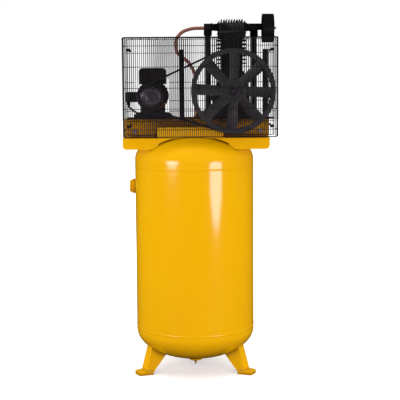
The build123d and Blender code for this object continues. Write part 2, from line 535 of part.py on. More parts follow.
pump_axis = (PUMP_X, 0, PUMP_Z)
CASE_MIDDLE = (CASE_FRONT + CASE_BACK) / 2
CASE_BORE, JOURNAL_BORE = 46.0, SHAFT_RADIUS + RUNNING_GAP
with BuildPart() as crankcase:
    with BuildSketch(front_plane(CASE_BACK)) as outline:
        with BuildLine():
            Polyline((PUMP_X - 106, DECK_TOP), (PUMP_X + 106, DECK_TOP), (PUMP_X + 106, DECK_TOP + 18),
                     (PUMP_X + 92, DECK_TOP + 18), (PUMP_X + 88, PUMP_Z - 40), (PUMP_X + 86, PUMP_Z + 20),
                     (PUMP_X + 60, CASE_TOP - 22), (PUMP_X + 60, CASE_TOP), (PUMP_X - 60, CASE_TOP),
                     (PUMP_X - 60, CASE_TOP - 22), (PUMP_X - 86, PUMP_Z + 20), (PUMP_X - 88, PUMP_Z - 40),
                     (PUMP_X - 92, DECK_TOP + 18), (PUMP_X - 106, DECK_TOP + 18), close=True)
        make_face()
        fillet(outline.vertices().group_by(Axis.Z)[3:6], 14)
    extrude(outline.sketch, amount=CASE_BACK - CASE_FRONT)
    block((PUMP_X - 78, PUMP_X + 78), (CASE_FRONT + 9, CASE_BACK - 9), (DECK_TOP + 12, PUMP_Z + 56),
          Mode.SUBTRACT)
    for y, bore in zip(CYLINDER_Y, BORE_RADII):
        rod((PUMP_X, y, 0), UP, bore + 3, PUMP_Z, CASE_TOP + 9, Mode.SUBTRACT)
    rod(pump_axis, BACK, CASE_BORE, CASE_FRONT - 9, CASE_BACK + 9, Mode.SUBTRACT)
    for x in (PUMP_X - 99, PUMP_X + 99):
        for y in (CASE_FRONT + 20, CASE_BACK - 20):
            rod((x, y, 0), UP, 4, DECK_TOP, DECK_TOP + 30, Mode.SUBTRACT)
    tube((PUMP_X, CASE_MIDDLE, 1400), RIGHT, 19, 12, -97, -86)
    rod((PUMP_X, CASE_MIDDLE, 1400), RIGHT, 12, -97, -70, Mode.SUBTRACT)
    tube((PUMP_X, CASE_MIDDLE + 60, 1420), RIGHT, 15, 9, -97, -84)
    rod((PUMP_X, CASE_MIDDLE + 60, 1420), RIGHT, 9, -97, -70, Mode.SUBTRACT)
pieces["crankcase"] = crankcase

with BuildPart() as oil_sight_glass:
    rod((PUMP_X, CASE_MIDDLE, 1400), RIGHT, 12, -95, -80)
pieces["oil_sight_glass"] = oil_sight_glass

with BuildPart() as oil_filler:
    rod((PUMP_X, CASE_MIDDLE + 60, 1420), RIGHT, 9, -97, -80)
    turn((PUMP_X, CASE_MIDDLE + 60, 1420), RIGHT,
         [(0, -97), (14, -97), (14, -104), (9, -108), (9, -122), (0, -122)])
pieces["oil_filler"] = oil_filler

NOSE_FRONT = -184.0
# The front cover carries a long bearing nose, and the rear one is a plain cap.
with BuildPart() as crankcase_covers:
    turn(pump_axis, BACK, [
        (JOURNAL_BORE, NOSE_FRONT), (28, NOSE_FRONT), (34, NOSE_FRONT + 6), (40, CASE_FRONT - 40),
        (52, CASE_FRONT - 10), (66, CASE_FRONT - 10), (66, CASE_FRONT), (CASE_BORE, CASE_FRONT),
        (CASE_BORE, CASE_FRONT + 18), (JOURNAL_BORE, CASE_FRONT + 18),
    ])
    turn(pump_axis, BACK, [
        (JOURNAL_BORE, CASE_BACK - 18), (CASE_BORE, CASE_BACK - 18), (CASE_BORE, CASE_BACK),
        (66, CASE_BACK), (66, CASE_BACK + 9), (40, CASE_BACK + 14), (0, CASE_BACK + 14),
        (0, CASE_BACK + 8), (JOURNAL_BORE, CASE_BACK + 8),
    ])
    for face, outward in ((CASE_FRONT - 10, 6), (CASE_BACK + 9, -6)):
        with BuildSketch(front_plane(face)) as heads:
            with Locations((PUMP_X, PUMP_Z)):
                with PolarLocations(58, 6):
                    RegularPolygon(6.5, 6)
        extrude(heads.sketch, amount=outward)
pieces["crankcase_covers"] = crankcase_covers

WEB_RADIUS, PIN_RADIUS = 52.0, 15.0
with BuildPart() as crankshaft:
    rod(pump_axis, BACK, SHAFT_RADIUS, SHEAVE_FRONT - 6, -68)
    rod(pump_axis, BACK, 12, SHEAVE_FRONT - 22, SHEAVE_FRONT - 6)
    for start, end in ((-68, -54), (8, 42), (104, 116)):
        rod(pump_axis, BACK, WEB_RADIUS, start, end)
    rod((PUMP_X, 0, PUMP_Z + THROW), BACK, PIN_RADIUS, -54, 8)
    rod((PUMP_X, 0, PUMP_Z - THROW), BACK, PIN_RADIUS, 42, 104)
    rod(pump_axis, BACK, SHAFT_RADIUS, 116, CASE_BACK + 7)
pieces["crankshaft"] = crankshaft

# The cylinder block stands on the crankcase, with its cooling fins as flat plates.
FIN_COUNT, FIN_PITCH, FIN_LOW, FIN_THICKNESS = 7, 19.5, 1600.0, 5.0
BLOCK_HALF, BLOCK_FRONT, BLOCK_BACK = 51.5, -80.0, 130.0


def pump_plate(width, front, back, low, height, corner, mode=Mode.ADD):
    """A level plate of the pump with round corners."""
    with BuildSketch(Plane.XY.offset(low)) as plate:
        with Locations((PUMP_X, (front + back) / 2)):
            RectangleRounded(width, back - front, corner)
    extrude(plate.sketch, amount=height, mode=mode)


with BuildPart() as cylinder_block:
    pump_plate(2 * BLOCK_HALF, BLOCK_FRONT, BLOCK_BACK, CASE_TOP, BLOCK_TOP - CASE_TOP, 40)
    pump_plate(120, CASE_FRONT + 4, CASE_BACK - 4, CASE_TOP, 14, 10)
    for step in range(FIN_COUNT):
        pump_plate(155, BLOCK_FRONT - 8, BLOCK_BACK + 8, FIN_LOW + FIN_PITCH * step - FIN_THICKNESS / 2,
                   FIN_THICKNESS, 46)
    pump_plate(140, BLOCK_FRONT - 8, BLOCK_BACK + 8, BLOCK_TOP - 12, 12, 14)
    for y, bore in zip(CYLINDER_Y, BORE_RADII):
        rod((PUMP_X, y, 0), UP, bore, CASE_TOP - 9, BLOCK_TOP + 9, Mode.SUBTRACT)
pieces["cylinder_block"] = cylinder_block

with BuildPart() as valve_plate:
    pump_plate(140, BLOCK_FRONT - 8, BLOCK_BACK + 8, BLOCK_TOP, HEAD_BASE - BLOCK_TOP, 14)
    for y, bore in zip(CYLINDER_Y, BORE_RADII):
        for side in (-1, 1):
            rod((PUMP_X + side * bore / 2, y, 0), UP, bore / 5, BLOCK_TOP - 9, HEAD_BASE + 9, Mode.SUBTRACT)
pieces["valve_plate"] = valve_plate

HEAD_FIN_COUNT, HEAD_FIN_PITCH, HEAD_FIN_TOP = 11, 13.2, 1822.0
HEAD_FRONT, HEAD_BACK = BLOCK_FRONT - 10, BLOCK_BACK + 10
BOLT_YS = (-70.0, 25.0, 120.0)
bolt_xs = (PUMP_X - 2.5 * HEAD_FIN_PITCH, PUMP_X + 2.5 * HEAD_FIN_PITCH)
with BuildPart() as cylinder_head:
    pump_plate(2 * HEAD_HALF_WIDTH, HEAD_FRONT, HEAD_BACK, HEAD_BASE, 12, 12)
    pump_plate(2 * HEAD_HALF_WIDTH - 8, HEAD_FRONT + 4, HEAD_BACK - 4, HEAD_BASE + 12,
               HEAD_TOP - HEAD_BASE - 12, 12)
    for index in range(HEAD_FIN_COUNT):
        x = PUMP_X + (index - (HEAD_FIN_COUNT - 1) / 2) * HEAD_FIN_PITCH
        lowered = 8.0 if index in (0, HEAD_FIN_COUNT - 1) else 0.0
        block((x - 2, x + 2), (HEAD_FRONT + 10, HEAD_BACK - 10), (HEAD_TOP, HEAD_FIN_TOP - lowered))
    for index in range(5):
        x = PUMP_X + 2 + index * HEAD_FIN_PITCH
        block((x - 2, x + 2), (HEAD_FRONT, HEAD_FRONT + 5), (HEAD_BASE + 12, HEAD_TOP - 4))
    for y, bore in zip(CYLINDER_Y, BORE_RADII):
        for side in (-1, 1):
            block((PUMP_X + side * 8, PUMP_X + side * (bore + 6)), (y - bore * 0.7, y + bore * 0.7),
                  (HEAD_BASE, HEAD_TOP - 8), Mode.SUBTRACT)
            rod((PUMP_X, y, PORT_Z), RIGHT, 9, *sorted((side * 20, side * 90)), Mode.SUBTRACT)
    for x in bolt_xs:
        for y in BOLT_YS:
            rod((x, y, 0), UP, 11, HEAD_TOP, HEAD_FIN_TOP + 5, Mode.SUBTRACT)
pieces["cylinder_head"] = cylinder_head

with BuildPart() as head_bolts:
    for x in bolt_xs:
        for y in BOLT_YS:
            rod((x, y, 0), UP, 9, HEAD_TOP, HEAD_TOP + 2)
            with BuildSketch(Plane.XY.offset(HEAD_TOP + 2)) as bolt:
                with Locations((x, y)):
                    RegularPolygon(7.5, 6)
            extrude(bolt.sketch, amount=8)
pieces["head_bolts"] = head_bolts

# Both pistons are drawn at the top of their stroke.
PISTON_TOP, PISTON_LENGTH = BLOCK_TOP - 3, 52.0
for name, y, bore in zip(("low_pressure_piston", "high_pressure_piston"), CYLINDER_Y, BORE_RADII):
    with BuildPart() as piston:
        skirt = bore - RUNNING_GAP
        turn((PUMP_X, y, 0), UP, [
            (0, PISTON_TOP), (skirt, PISTON_TOP), (skirt, PISTON_TOP - PISTON_LENGTH),
            (skirt - 5, PISTON_TOP - PISTON_LENGTH), (skirt - 5, PISTON_TOP - 9), (0, PISTON_TOP - 9)])
        rod((PUMP_X, y, PISTON_TOP - 30), RIGHT, 7, -skirt + 3, skirt - 3)
    pieces[name] = piston

# ---- Flywheel and belts ----------------------------------------------------------------

HUB_RADIUS, HUB_FACE_RADIUS = 62.5, 46.0
SHEAVE_MIDDLE = (SHEAVE_FRONT + SHEAVE_BACK) / 2
rim_inner = FLYWHEEL_RADIUS - FLYWHEEL_RIM
with BuildPart() as flywheel_rim:
    tube(pump_axis, BACK, FLYWHEEL_RADIUS, rim_inner, SHEAVE_FRONT, SHEAVE_BACK)
    belt_grooves(pump_axis, FLYWHEEL_RADIUS)
pieces["flywheel_rim"] = flywheel_rim

# The hub and its spokes, which are fan blades, are one casting with the rim round them.
with BuildPart() as flywheel_spokes:
    turn(pump_axis, BACK, [
        (SHAFT_RADIUS, SHEAVE_FRONT + 3), (22, SHEAVE_FRONT + 3), (24, SHEAVE_FRONT + 6),
        (HUB_FACE_RADIUS - 8, SHEAVE_FRONT + 6), (HUB_FACE_RADIUS - 5, SHEAVE_FRONT + 1),
        (HUB_FACE_RADIUS, SHEAVE_FRONT + 1), (HUB_FACE_RADIUS + 3, SHEAVE_FRONT + 7),
        (HUB_RADIUS - 6, SHEAVE_FRONT + 9), (HUB_RADIUS - 2, SHEAVE_FRONT + 6),
        (HUB_RADIUS, SHEAVE_FRONT + 8), (HUB_RADIUS, SHEAVE_BACK - 4), (34, SHEAVE_BACK),
        (30, SHEAVE_BACK + 14), (SHAFT_RADIUS, SHEAVE_BACK + 14),
    ])
    with Locations(Location(pump_axis, (90, 0, 0))):
        with PolarLocations(0, BLADE_COUNT, start_angle=-3):
            reach = (HUB_RADIUS - 4 + rim_inner + 3) / 2
            with Locations(Location((reach, 0, -SHEAVE_MIDDLE), (BLADE_PITCH, 0, 0))):
                Box(rim_inner - HUB_RADIUS + 7, BLADE_WIDTH, BLADE_THICKNESS)
    tube(pump_axis, BACK, FLYWHEEL_RADIUS + 9, rim_inner, SHEAVE_FRONT - 9, SHEAVE_BACK + 9, Mode.SUBTRACT)
pieces["flywheel_spokes"] = flywheel_spokes

with BuildPart() as flywheel_nut:
    with BuildSketch(front_plane(SHEAVE_FRONT - 9)) as nut:
        with Locations((PUMP_X, PUMP_Z)):
            RegularPolygon(18, 6)
            Circle(12, mode=Mode.SUBTRACT)
    extrude(nut.sketch, amount=12)
    tube(pump_axis, BACK, 21, 12, SHEAVE_FRONT - 9, SHEAVE_FRONT - 6)
    tube(pump_axis, BACK, 21, SHAFT_RADIUS, SHEAVE_FRONT - 6, SHEAVE_FRONT + 3)
pieces["flywheel_nut"] = flywheel_nut

# Each belt's centre line runs round both wheels: two arcs and the two straight runs that touch them.
BELT_DROP = BELT_SINK - BELT_HEIGHT / 2
wheel_track, pulley_track = FLYWHEEL_RADIUS - BELT_DROP, PULLEY_RADIUS - BELT_DROP
BELT_LAYERS = ((-BELT_HEIGHT / 2, 0, BELT_LOW_WIDTH + 2), (0, BELT_HEIGHT / 2, BELT_TOP_WIDTH - 1))
with BuildPart() as drive_belts:
    for line in BELT_LINES:
        for low, high, width in BELT_LAYERS:
            with BuildSketch(front_plane(line + width / 2)) as loop:
                with BuildSketch(mode=Mode.PRIVATE) as inner:
                    with Locations((PUMP_X, PUMP_Z)):
                        Circle(wheel_track + low)
                    with Locations((MOTOR_X, MOTOR_Z)):
                        Circle(pulley_track + low)
                    make_hull()
                with Locations((PUMP_X, PUMP_Z)):
                    Circle(wheel_track + high)
                with Locations((MOTOR_X, MOTOR_Z)):
                    Circle(pulley_track + high)
                make_hull()
                add(inner.sketch, mode=Mode.SUBTRACT)
            extrude(loop.sketch, amount=width)
pieces["drive_belts"] = drive_belts

# ---- Air path --------------------------------------------------------------------------

head_side = HEAD_HALF_WIDTH - 4
low_port = (PUMP_X, CYLINDER_Y[0], PORT_Z)
high_port = (PUMP_X, CYLINDER_Y[1], PORT_Z)

filter_axis = (0, CYLINDER_Y[0], PORT_Z - 7)
FILTER_SKIN = 1.5

# The intake pipe carries the filter's base plate and stud.
with BuildPart() as intake_pipe:
    start, end = head_side, FILTER_LEFT - PUMP_X
    turn(low_port, RIGHT, [(10, start), (22, start), (22, start + 7), (17, start + 12), (17, end), (10, end)])
    tube(filter_axis, RIGHT, FILTER_RADIUS - 2, 13, FILTER_LEFT, FILTER_LEFT + 3)
    block((FILTER_LEFT, FILTER_LEFT + 3), (CYLINDER_Y[0] - 2, CYLINDER_Y[0] + 2), (PORT_Z - 20, PORT_Z + 12))
    rod(filter_axis, RIGHT, 3, FILTER_LEFT, FILTER_RIGHT + 14)
pieces["intake_pipe"] = intake_pipe

with BuildPart() as filter_element:
    tube(filter_axis, RIGHT, 60, 36, FILTER_LEFT + 3, FILTER_RIGHT - FILTER_SKIN - 1)
pieces["filter_element"] = filter_element

with BuildPart() as filter_cover:
    turn(filter_axis, RIGHT, [
        (FILTER_RADIUS - FILTER_SKIN, FILTER_LEFT), (FILTER_RADIUS, FILTER_LEFT),
        (FILTER_RADIUS, FILTER_RIGHT - 4), (FILTER_RADIUS - 4, FILTER_RIGHT),
        (3.2, FILTER_RIGHT), (3.2, FILTER_RIGHT - FILTER_SKIN),
        (FILTER_RADIUS - 5, FILTER_RIGHT - FILTER_SKIN), (FILTER_RADIUS - FILTER_SKIN, FILTER_RIGHT - 5)])
    with Locations(Location(filter_axis, (0, 90, 0))):
        with PolarLocations(FILTER_RADIUS, 14, start_angle=-75, angular_range=150, endpoint=True):
            with Locations((0, 0, FILTER_LEFT + 30)):
                Box(6, 5, 40, mode=Mode.SUBTRACT)
pieces["filter_cover"] = filter_cover

with BuildPart() as filter_wing_nut:
    tube(filter_axis, RIGHT, 7, 3, FILTER_RIGHT, FILTER_RIGHT + 8)
    for side in (-1, 1):
        block((FILTER_RIGHT + 2, FILTER_RIGHT + 12), (CYLINDER_Y[0] + side * 5, CYLINDER_Y[0] + side * 16),
              (PORT_Z - 5.5, PORT_Z - 2.5))
pieces["filter_wing_nut"] = filter_wing_nut

COOLER_LOW, COOLER_BACK = 1346.0, 168.0
COOLER_START = PORT_Z - 18
with BuildPart() as intercooler_tube:
    tube_path([(COOLER_LEFT, CYLINDER_Y[0], COOLER_START), (COOLER_LEFT, CYLINDER_Y[0], COOLER_LOW),
               (COOLER_LEFT, COOLER_BACK, COOLER_LOW), (COOLER_RIGHT, COOLER_BACK, COOLER_LOW),
               (COOLER_RIGHT, CYLINDER_Y[1], COOLER_LOW), (COOLER_RIGHT, CYLINDER_Y[1], COOLER_START)],
              40, COOLER_RADIUS)
pieces["intercooler_tube"] = intercooler_tube

with BuildPart() as head_fittings:
    for port, x in ((low_port, COOLER_LEFT), (high_port, COOLER_RIGHT)):
        side = -1 if x < PUMP_X else 1
        rod(port, RIGHT, 17, *sorted((side * head_side, x - PUMP_X)))
        rod((x, port[1], 0), UP, 20, COOLER_START, PORT_Z + 17)
        rod(port, RIGHT, 22, *sorted((side * head_side, side * (head_side + 7))))
        with BuildSketch(Plane.XY.offset(COOLER_START - 26)) as union:
            with Locations((x, port[1])):
                RegularPolygon(21, 6)
                Circle(COOLER_RADIUS, mode=Mode.SUBTRACT)
        extrude(union.sketch, amount=26)
    rod(high_port, RIGHT, 15, COPPER_START + 4 - PUMP_X, -head_side)
    with BuildSketch(Plane(origin=(COPPER_START, CYLINDER_Y[1], PORT_Z), z_dir=(1, 0, 0))) as hexagon:
        RegularPolygon(15, 6)
    extrude(hexagon.sketch, amount=-16)
    rod((COPPER_START - 8, CYLINDER_Y[1], 0), UP, 4, PORT_Z + 12, PORT_Z + 26)
    rod((COPPER_START, CYLINDER_Y[1], PORT_Z), RIGHT, COPPER_RADIUS, -30, 0, Mode.SUBTRACT)
pieces["head_fittings"] = head_fittings

with BuildPart() as discharge_tube:
    tube_path([(COPPER_START, 78, PORT_Z), (-5, 78, PORT_Z), (-60, 77, 1768), (-94, 76, 1728),
               (-90, 73, 1660), (-24, 68, 1606), (6, 62, 1552), (CHECK_VALVE_X, CHECK_VALVE_Y, 1350.4)],
              [160, 78, 55, 40, 60, 60], COPPER_RADIUS)
pieces["discharge_tube"] = discharge_tube

with BuildPart() as unloader_tube:
    tube_path([(CHECK_VALVE_X, CHECK_VALVE_Y + 17.1, 1292), (CHECK_VALVE_X, 130, 1292), (-60, 168, 1286),
               (UNLOADER_X + 1, 176, UNLOADER_INLET), (UNLOADER_X, 214, UNLOADER_INLET)], [30, 60, 14], 3.2)
pieces["unloader_tube"] = unloader_tube

# ---- Controls --------------------------------------------------------------------------

MANIFOLD_LOW, MANIFOLD_HIGH = 1196.0, 1226.0
with BuildPart() as pressure_manifold:
    rod((CONTROL_X, CONTROL_Y, 0), UP, PIPE_BORE, 1160, MANIFOLD_LOW)
    block((CONTROL_X - 24, CONTROL_X + 24), (CONTROL_Y - 14, CONTROL_Y + 14), (MANIFOLD_LOW, MANIFOLD_HIGH))
    rod((CONTROL_X, CONTROL_Y, 0), UP, 9, MANIFOLD_HIGH, MANIFOLD_HIGH + 10)
    head_body(HIGH_HEAD_CENTRE, 1, -TANK_WALL - 1, Mode.SUBTRACT)
pieces["pressure_manifold"] = pressure_manifold

SWITCH_LOW, SWITCH_TOP = MANIFOLD_HIGH + 10, 1308.0
with BuildPart() as pressure_switch:
    block((CONTROL_X - 34, CONTROL_X + 40), (212, 284), (SWITCH_LOW, SWITCH_TOP))
    fillet(pressure_switch.edges().filter_by(Axis.Z), 7)
    fillet(pressure_switch.faces().sort_by(Axis.Z)[-1].edges(), 5)
    rod((CONTROL_X, 0, SWITCH_INLET), BACK, CABLE_RADIUS + 0.3, 200, 216.5, Mode.SUBTRACT)
    rod((UNLOADER_X, 0, UNLOADER_INLET), BACK, 3.6, 200, 214.5, Mode.SUBTRACT)
pieces["pressure_switch"] = pressure_switch

with BuildPart() as switch_lever:
    rod((CONTROL_X + 40, 250, 1285), RIGHT, 7, 0.4, 6)
    block((CONTROL_X + 41, CONTROL_X + 46), (246, 254), (1255, 1285))
pieces["switch_lever"] = switch_lever

gauge_axis = (CONTROL_X, 0, 1211)
with BuildPart() as gauge_case:
    rod(gauge_axis, BACK, 5, CONTROL_Y + 14, 275)
    turn(gauge_axis, BACK, [(0, 275), (24, 275), (24, 296), (21, 296), (21, 282), (0, 282)])
pieces["gauge_case"] = gauge_case

with BuildPart() as gauge_needle:
    tube(gauge_axis, BACK, 3, 0.5, 285, 288)
    block((CONTROL_X - 0.8, CONTROL_X + 0.8), (286, 287), (1213, 1230))
pieces["gauge_needle"] = gauge_needle

with BuildPart() as gauge_lens:
    rod(gauge_axis, BACK, 21, 292, 295)
pieces["gauge_lens"] = gauge_lens

relief_axis = (0, CONTROL_Y, 1211)
with BuildPart() as safety_valve:
    turn(relief_axis, RIGHT, [
        (0, CONTROL_X - 24), (7, CONTROL_X - 24), (7, CONTROL_X - 34), (11, CONTROL_X - 34),
        (11, CONTROL_X - 62), (7, CONTROL_X - 66), (2.3, CONTROL_X - 66), (2.3, CONTROL_X - 50),
        (0, CONTROL_X - 50)])
pieces["safety_valve"] = safety_valve

with BuildPart() as safety_valve_ring:
    rod(relief_axis, RIGHT, 2, CONTROL_X - 72, CONTROL_X - 51)
    with Locations(Location((CONTROL_X - 82, CONTROL_Y, 1211), (90, 0, 0))):
        Torus(11, 1.5)
pieces["safety_valve_ring"] = safety_valve_ring

valve_axis = (0, 0, OUTLET_HEIGHT)
VALVE_MIDDLE, VALVE_END = 362.0, 396.0
with BuildPart() as outlet_valve_body:
    turn(valve_axis, BACK, [
        (8, OUTLET_END - 16), (PIPE_BORE, OUTLET_END - 16), (PIPE_BORE, OUTLET_END), (17, OUTLET_END),
        (17, OUTLET_END + 14), (21, OUTLET_END + 18), (21, VALVE_END - 20), (17, VALVE_END - 16),
        (17, VALVE_END), (9.5, VALVE_END), (9.5, VALVE_END - 16), (8, VALVE_END - 16)])
    tube((0, VALVE_MIDDLE, 0), UP, 8, 5.05, OUTLET_HEIGHT + 18, OUTLET_HEIGHT + 30)
    rod((0, VALVE_MIDDLE, 0), UP, 5.05, OUTLET_HEIGHT, OUTLET_HEIGHT + 32, Mode.SUBTRACT)
pieces["outlet_valve_body"] = outlet_valve_body

with BuildPart() as outlet_valve_lever:
    rod((0, VALVE_MIDDLE, 0), UP, 5, OUTLET_HEIGHT + 9, OUTLET_HEIGHT + 34)
    block((-8, 8), (VALVE_MIDDLE - 8, VALVE_MIDDLE + 62), (OUTLET_HEIGHT + 31, OUTLET_HEIGHT + 34))
    fillet(outlet_valve_lever.edges().filter_by(Axis.Z).group_by(Axis.Y)[-1], 7.9)
pieces["outlet_valve_lever"] = outlet_valve_lever

for label, piece in pieces.items():
    piece.part.label = label
    export_step(piece.part, f"parts/{label}.step")
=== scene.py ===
"""Looks of the upright air compressor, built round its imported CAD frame."""

import bpy
import bmesh
import json
import math
from mathutils import Matrix, Vector


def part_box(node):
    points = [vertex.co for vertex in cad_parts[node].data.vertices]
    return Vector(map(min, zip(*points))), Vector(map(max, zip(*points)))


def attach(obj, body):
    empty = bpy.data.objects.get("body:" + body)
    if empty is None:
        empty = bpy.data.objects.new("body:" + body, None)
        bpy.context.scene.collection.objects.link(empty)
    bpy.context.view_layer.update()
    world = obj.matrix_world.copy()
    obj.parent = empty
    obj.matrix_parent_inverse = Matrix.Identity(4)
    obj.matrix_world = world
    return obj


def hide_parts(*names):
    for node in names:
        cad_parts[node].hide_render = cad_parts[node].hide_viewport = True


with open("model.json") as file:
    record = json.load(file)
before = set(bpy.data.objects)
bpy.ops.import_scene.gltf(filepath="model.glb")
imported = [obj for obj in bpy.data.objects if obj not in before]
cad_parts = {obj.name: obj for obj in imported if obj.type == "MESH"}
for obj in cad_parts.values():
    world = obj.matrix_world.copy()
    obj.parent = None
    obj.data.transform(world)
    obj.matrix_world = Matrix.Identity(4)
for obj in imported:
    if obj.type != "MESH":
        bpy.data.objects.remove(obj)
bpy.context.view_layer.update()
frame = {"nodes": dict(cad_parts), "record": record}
nodes = frame["nodes"]
body_of = {name: body for body, names in frame["record"]["behaviour"]["bodies"].items() for name in names}
slot_of = {part["node"]: part["material_slot"] for part in frame["record"]["subparts"]}
MM = 0.001
UP, BACK, RIGHT = Vector((0, 0, 1)), Vector((0, 1, 0)), Vector((1, 0, 0))

# ---- Camera ----------------------------------------------------------------------------

# It stands in front of the object, at the flywheel's height, and looks slightly down.
SENSOR, LENS = 36.0, 86.22
EYE = Vector((0.030, -5.0, 1.525))
PITCH, ROLL = math.radians(5.6), math.radians(-0.4)
SHIFT_UP = -0.0701682
FARTHEST = 60.0

camera_data = bpy.data.cameras.new("camera")
camera_data.sensor_width = SENSOR
camera_data.lens = LENS
camera_data.shift_y = SHIFT_UP
camera_data.clip_end = FARTHEST
camera = bpy.data.objects.new("camera", camera_data)
look = Matrix.Rotation(math.pi / 2 - PITCH, 4, "X") @ Matrix.Rotation(ROLL, 4, "Z")
camera.matrix_world = Matrix.Translation(EYE) @ look
bpy.context.scene.collection.objects.link(camera)
bpy.context.scene.camera = camera
bpy.context.scene.view_settings.view_transform = "Standard"

# ---- Materials -------------------------------------------------------------------------


class Nodes:
    """A material's node tree, with short calls for the nodes used here."""

    def __init__(self, name):
        self.material = bpy.data.materials.new(name)
        self.material.use_nodes = True
        self.tree = self.material.node_tree
        self.shader = self.tree.nodes["Principled BSDF"]
        self.place = self.new("TexCoord").outputs["Object"]

    def new(self, kind):
        """Adds a shader node of a kind."""
        return self.tree.nodes.new("ShaderNode" + kind)

    def link(self, source, target):
        """Joins one node's output to another's input."""
        self.tree.links.new(source, target)

    def noise(self, scale, detail=4.0):
        """Cloudy noise fixed to the object, from 0 to 1."""
        node = self.new("TexNoise")
        node.inputs["Scale"].default_value = scale
        node.inputs["Detail"].default_value = detail
        node.inputs["Roughness"].default_value = 0.55
        self.link(self.place, node.inputs["Vector"])
        return node.outputs["Fac"]

    def ramp(self, value, stops):
        """Maps a value to colours; the two stops are (position, colour)."""
        node = self.new("ValToRGB")
        for element, (position, colour) in zip(node.color_ramp.elements, stops):
            element.position = position
            element.color = (*colour, 1.0)
        self.link(value, node.inputs["Fac"])
        return node.outputs["Color"]

    def span(self, value, low, high, from_low=0.3, from_high=0.7):
        """Maps a value to a number between low and high."""
        node = self.new("MapRange")
        node.inputs["From Min"].default_value = from_low
        node.inputs["From Max"].default_value = from_high
        node.inputs["To Min"].default_value = low
        node.inputs["To Max"].default_value = high
        self.link(value, node.inputs["Value"])
        return node.outputs["Result"]

    def blend(self, factor, first, second):
        """Mixes two colours, which are numbers or other nodes' outputs."""
        node = self.new("Mix")
        node.data_type = "RGBA"
        self.link(factor, node.inputs["Factor"])
        for socket, value in (("A", first), ("B", second)):
            target = [s for s in node.inputs if s.name == socket and s.type == "RGBA"][0]
            if isinstance(value, tuple):
                target.default_value = (*value, 1.0)
            else:
                self.link(value, target)
        return [s for s in node.outputs if s.type == "RGBA"][0]

    def bump(self, height, distance, strength=1.0, under=None):
        """Bends the shader's normals by a height, on top of another bump if one is given."""
        node = self.new("Bump")
        node.inputs["Distance"].default_value = distance
        node.inputs["Strength"].default_value = strength
        self.link(height, node.inputs["Height"])
        if under:
            self.link(under, node.inputs["Normal"])
        self.link(node.outputs["Normal"], self.shader.inputs["Normal"])
        return node.outputs["Normal"]

    def openness(self, distance):
        """How open the surface is to its surroundings: 1 in the open, and less in creases and gaps."""
        node = self.new("AmbientOcclusion")
        node.inputs["Distance"].default_value = distance
        node.samples = 8
        return node.outputs["AO"]

    def edges(self):
        """Where the surface is convex: near 1 on edges, near 0.5 on flats."""
        return self.new("NewGeometry").outputs["Pointiness"]


DRIFT_SCALE, SPECK_SCALE, GLOSS_SCALE, WAVE_SCALE = 3.5, 160.0, 11.0, 26.0
SPECK_SHADE, SPECK_STRENGTH, SPECK_RANGE = 0.72, 0.35, (0.62, 0.8)
# Edge lightening, part real wear and part painted highlight: its strength and range.
EDGE_WEAR_AND_HIGHLIGHT_STRENGTH, EDGE_WEAR_AND_HIGHLIGHT_RANGE = 0.8, (0.53, 0.6)
# Painted shade in creases and gaps: how far it looks for surrounding surfaces, and its range.
PAINTED_SHADE_REACH, PAINTED_SHADE_RANGE = 0.03, (0.35, 0.9)
SMOOTHEST, ROUGHEST = 0.85, 1.2
GRAIN_STRENGTH = 0.6


def coated(name, colour, deep, roughness, coat=0.0, coat_rough=0.05, grain=900.0, grain_depth=0.00003,
           wave_depth=0.0, metallic=0.0, specular=0.5, edge_wear_and_highlight=None, painted_crevice_shade=None):
    """A painted or plated surface: its colour drifts slowly towards the deep one and has fine specks.

    The wear colour lightens convex edges, part real wear and part painted highlight; the crevice colour is
    painted shade in creases and gaps.
    """
    n = Nodes(name)
    base = n.ramp(n.noise(DRIFT_SCALE, 3.0), [(0.3, deep), (0.7, colour)])
    speck = tuple(c * SPECK_SHADE for c in deep)
    base = n.blend(n.span(n.noise(SPECK_SCALE, 2.0), 0.0, SPECK_STRENGTH, *SPECK_RANGE), base, speck)
    # Part real wear and part painted highlight: the wear colour lightens convex edges.
    if edge_wear_and_highlight:
        base = n.blend(n.span(n.edges(), 0.0, EDGE_WEAR_AND_HIGHLIGHT_STRENGTH, *EDGE_WEAR_AND_HIGHLIGHT_RANGE), base, edge_wear_and_highlight)
    # Painted shade: the crevice colour darkens creases and gaps, where little light reaches.
    if painted_crevice_shade:
        base = n.blend(n.span(n.openness(PAINTED_SHADE_REACH), 1.0, 0.0, *PAINTED_SHADE_RANGE), base, painted_crevice_shade)
    n.link(base, n.shader.inputs["Base Color"])
    gloss = n.span(n.noise(GLOSS_SCALE, 5.0), roughness * SMOOTHEST, roughness * ROUGHEST)
    n.link(gloss, n.shader.inputs["Roughness"])
    n.shader.inputs["Metallic"].default_value = metallic
    n.shader.inputs["Specular IOR Level"].default_value = specular
    n.shader.inputs["Coat Weight"].default_value = coat
    n.shader.inputs["Coat Roughness"].default_value = coat_rough
    waves = n.bump(n.noise(WAVE_SCALE, 2.0), wave_depth) if wave_depth else None
    n.bump(n.noise(grain, 2.0), grain_depth, GRAIN_STRENGTH, waves)
    return n.material


def clear(name, colour, deep):
    """Clear glass with a faint tint that drifts between two colours."""
    n = Nodes(name)
    n.shader.inputs["Transmission Weight"].default_value = 1.0
    n.shader.inputs["Roughness"].default_value = 0.04
    n.shader.inputs["IOR"].default_value = 1.47
    n.link(n.ramp(n.noise(40.0), [(0.3, deep), (0.7, colour)]), n.shader.inputs["Base Color"])
    return n.material


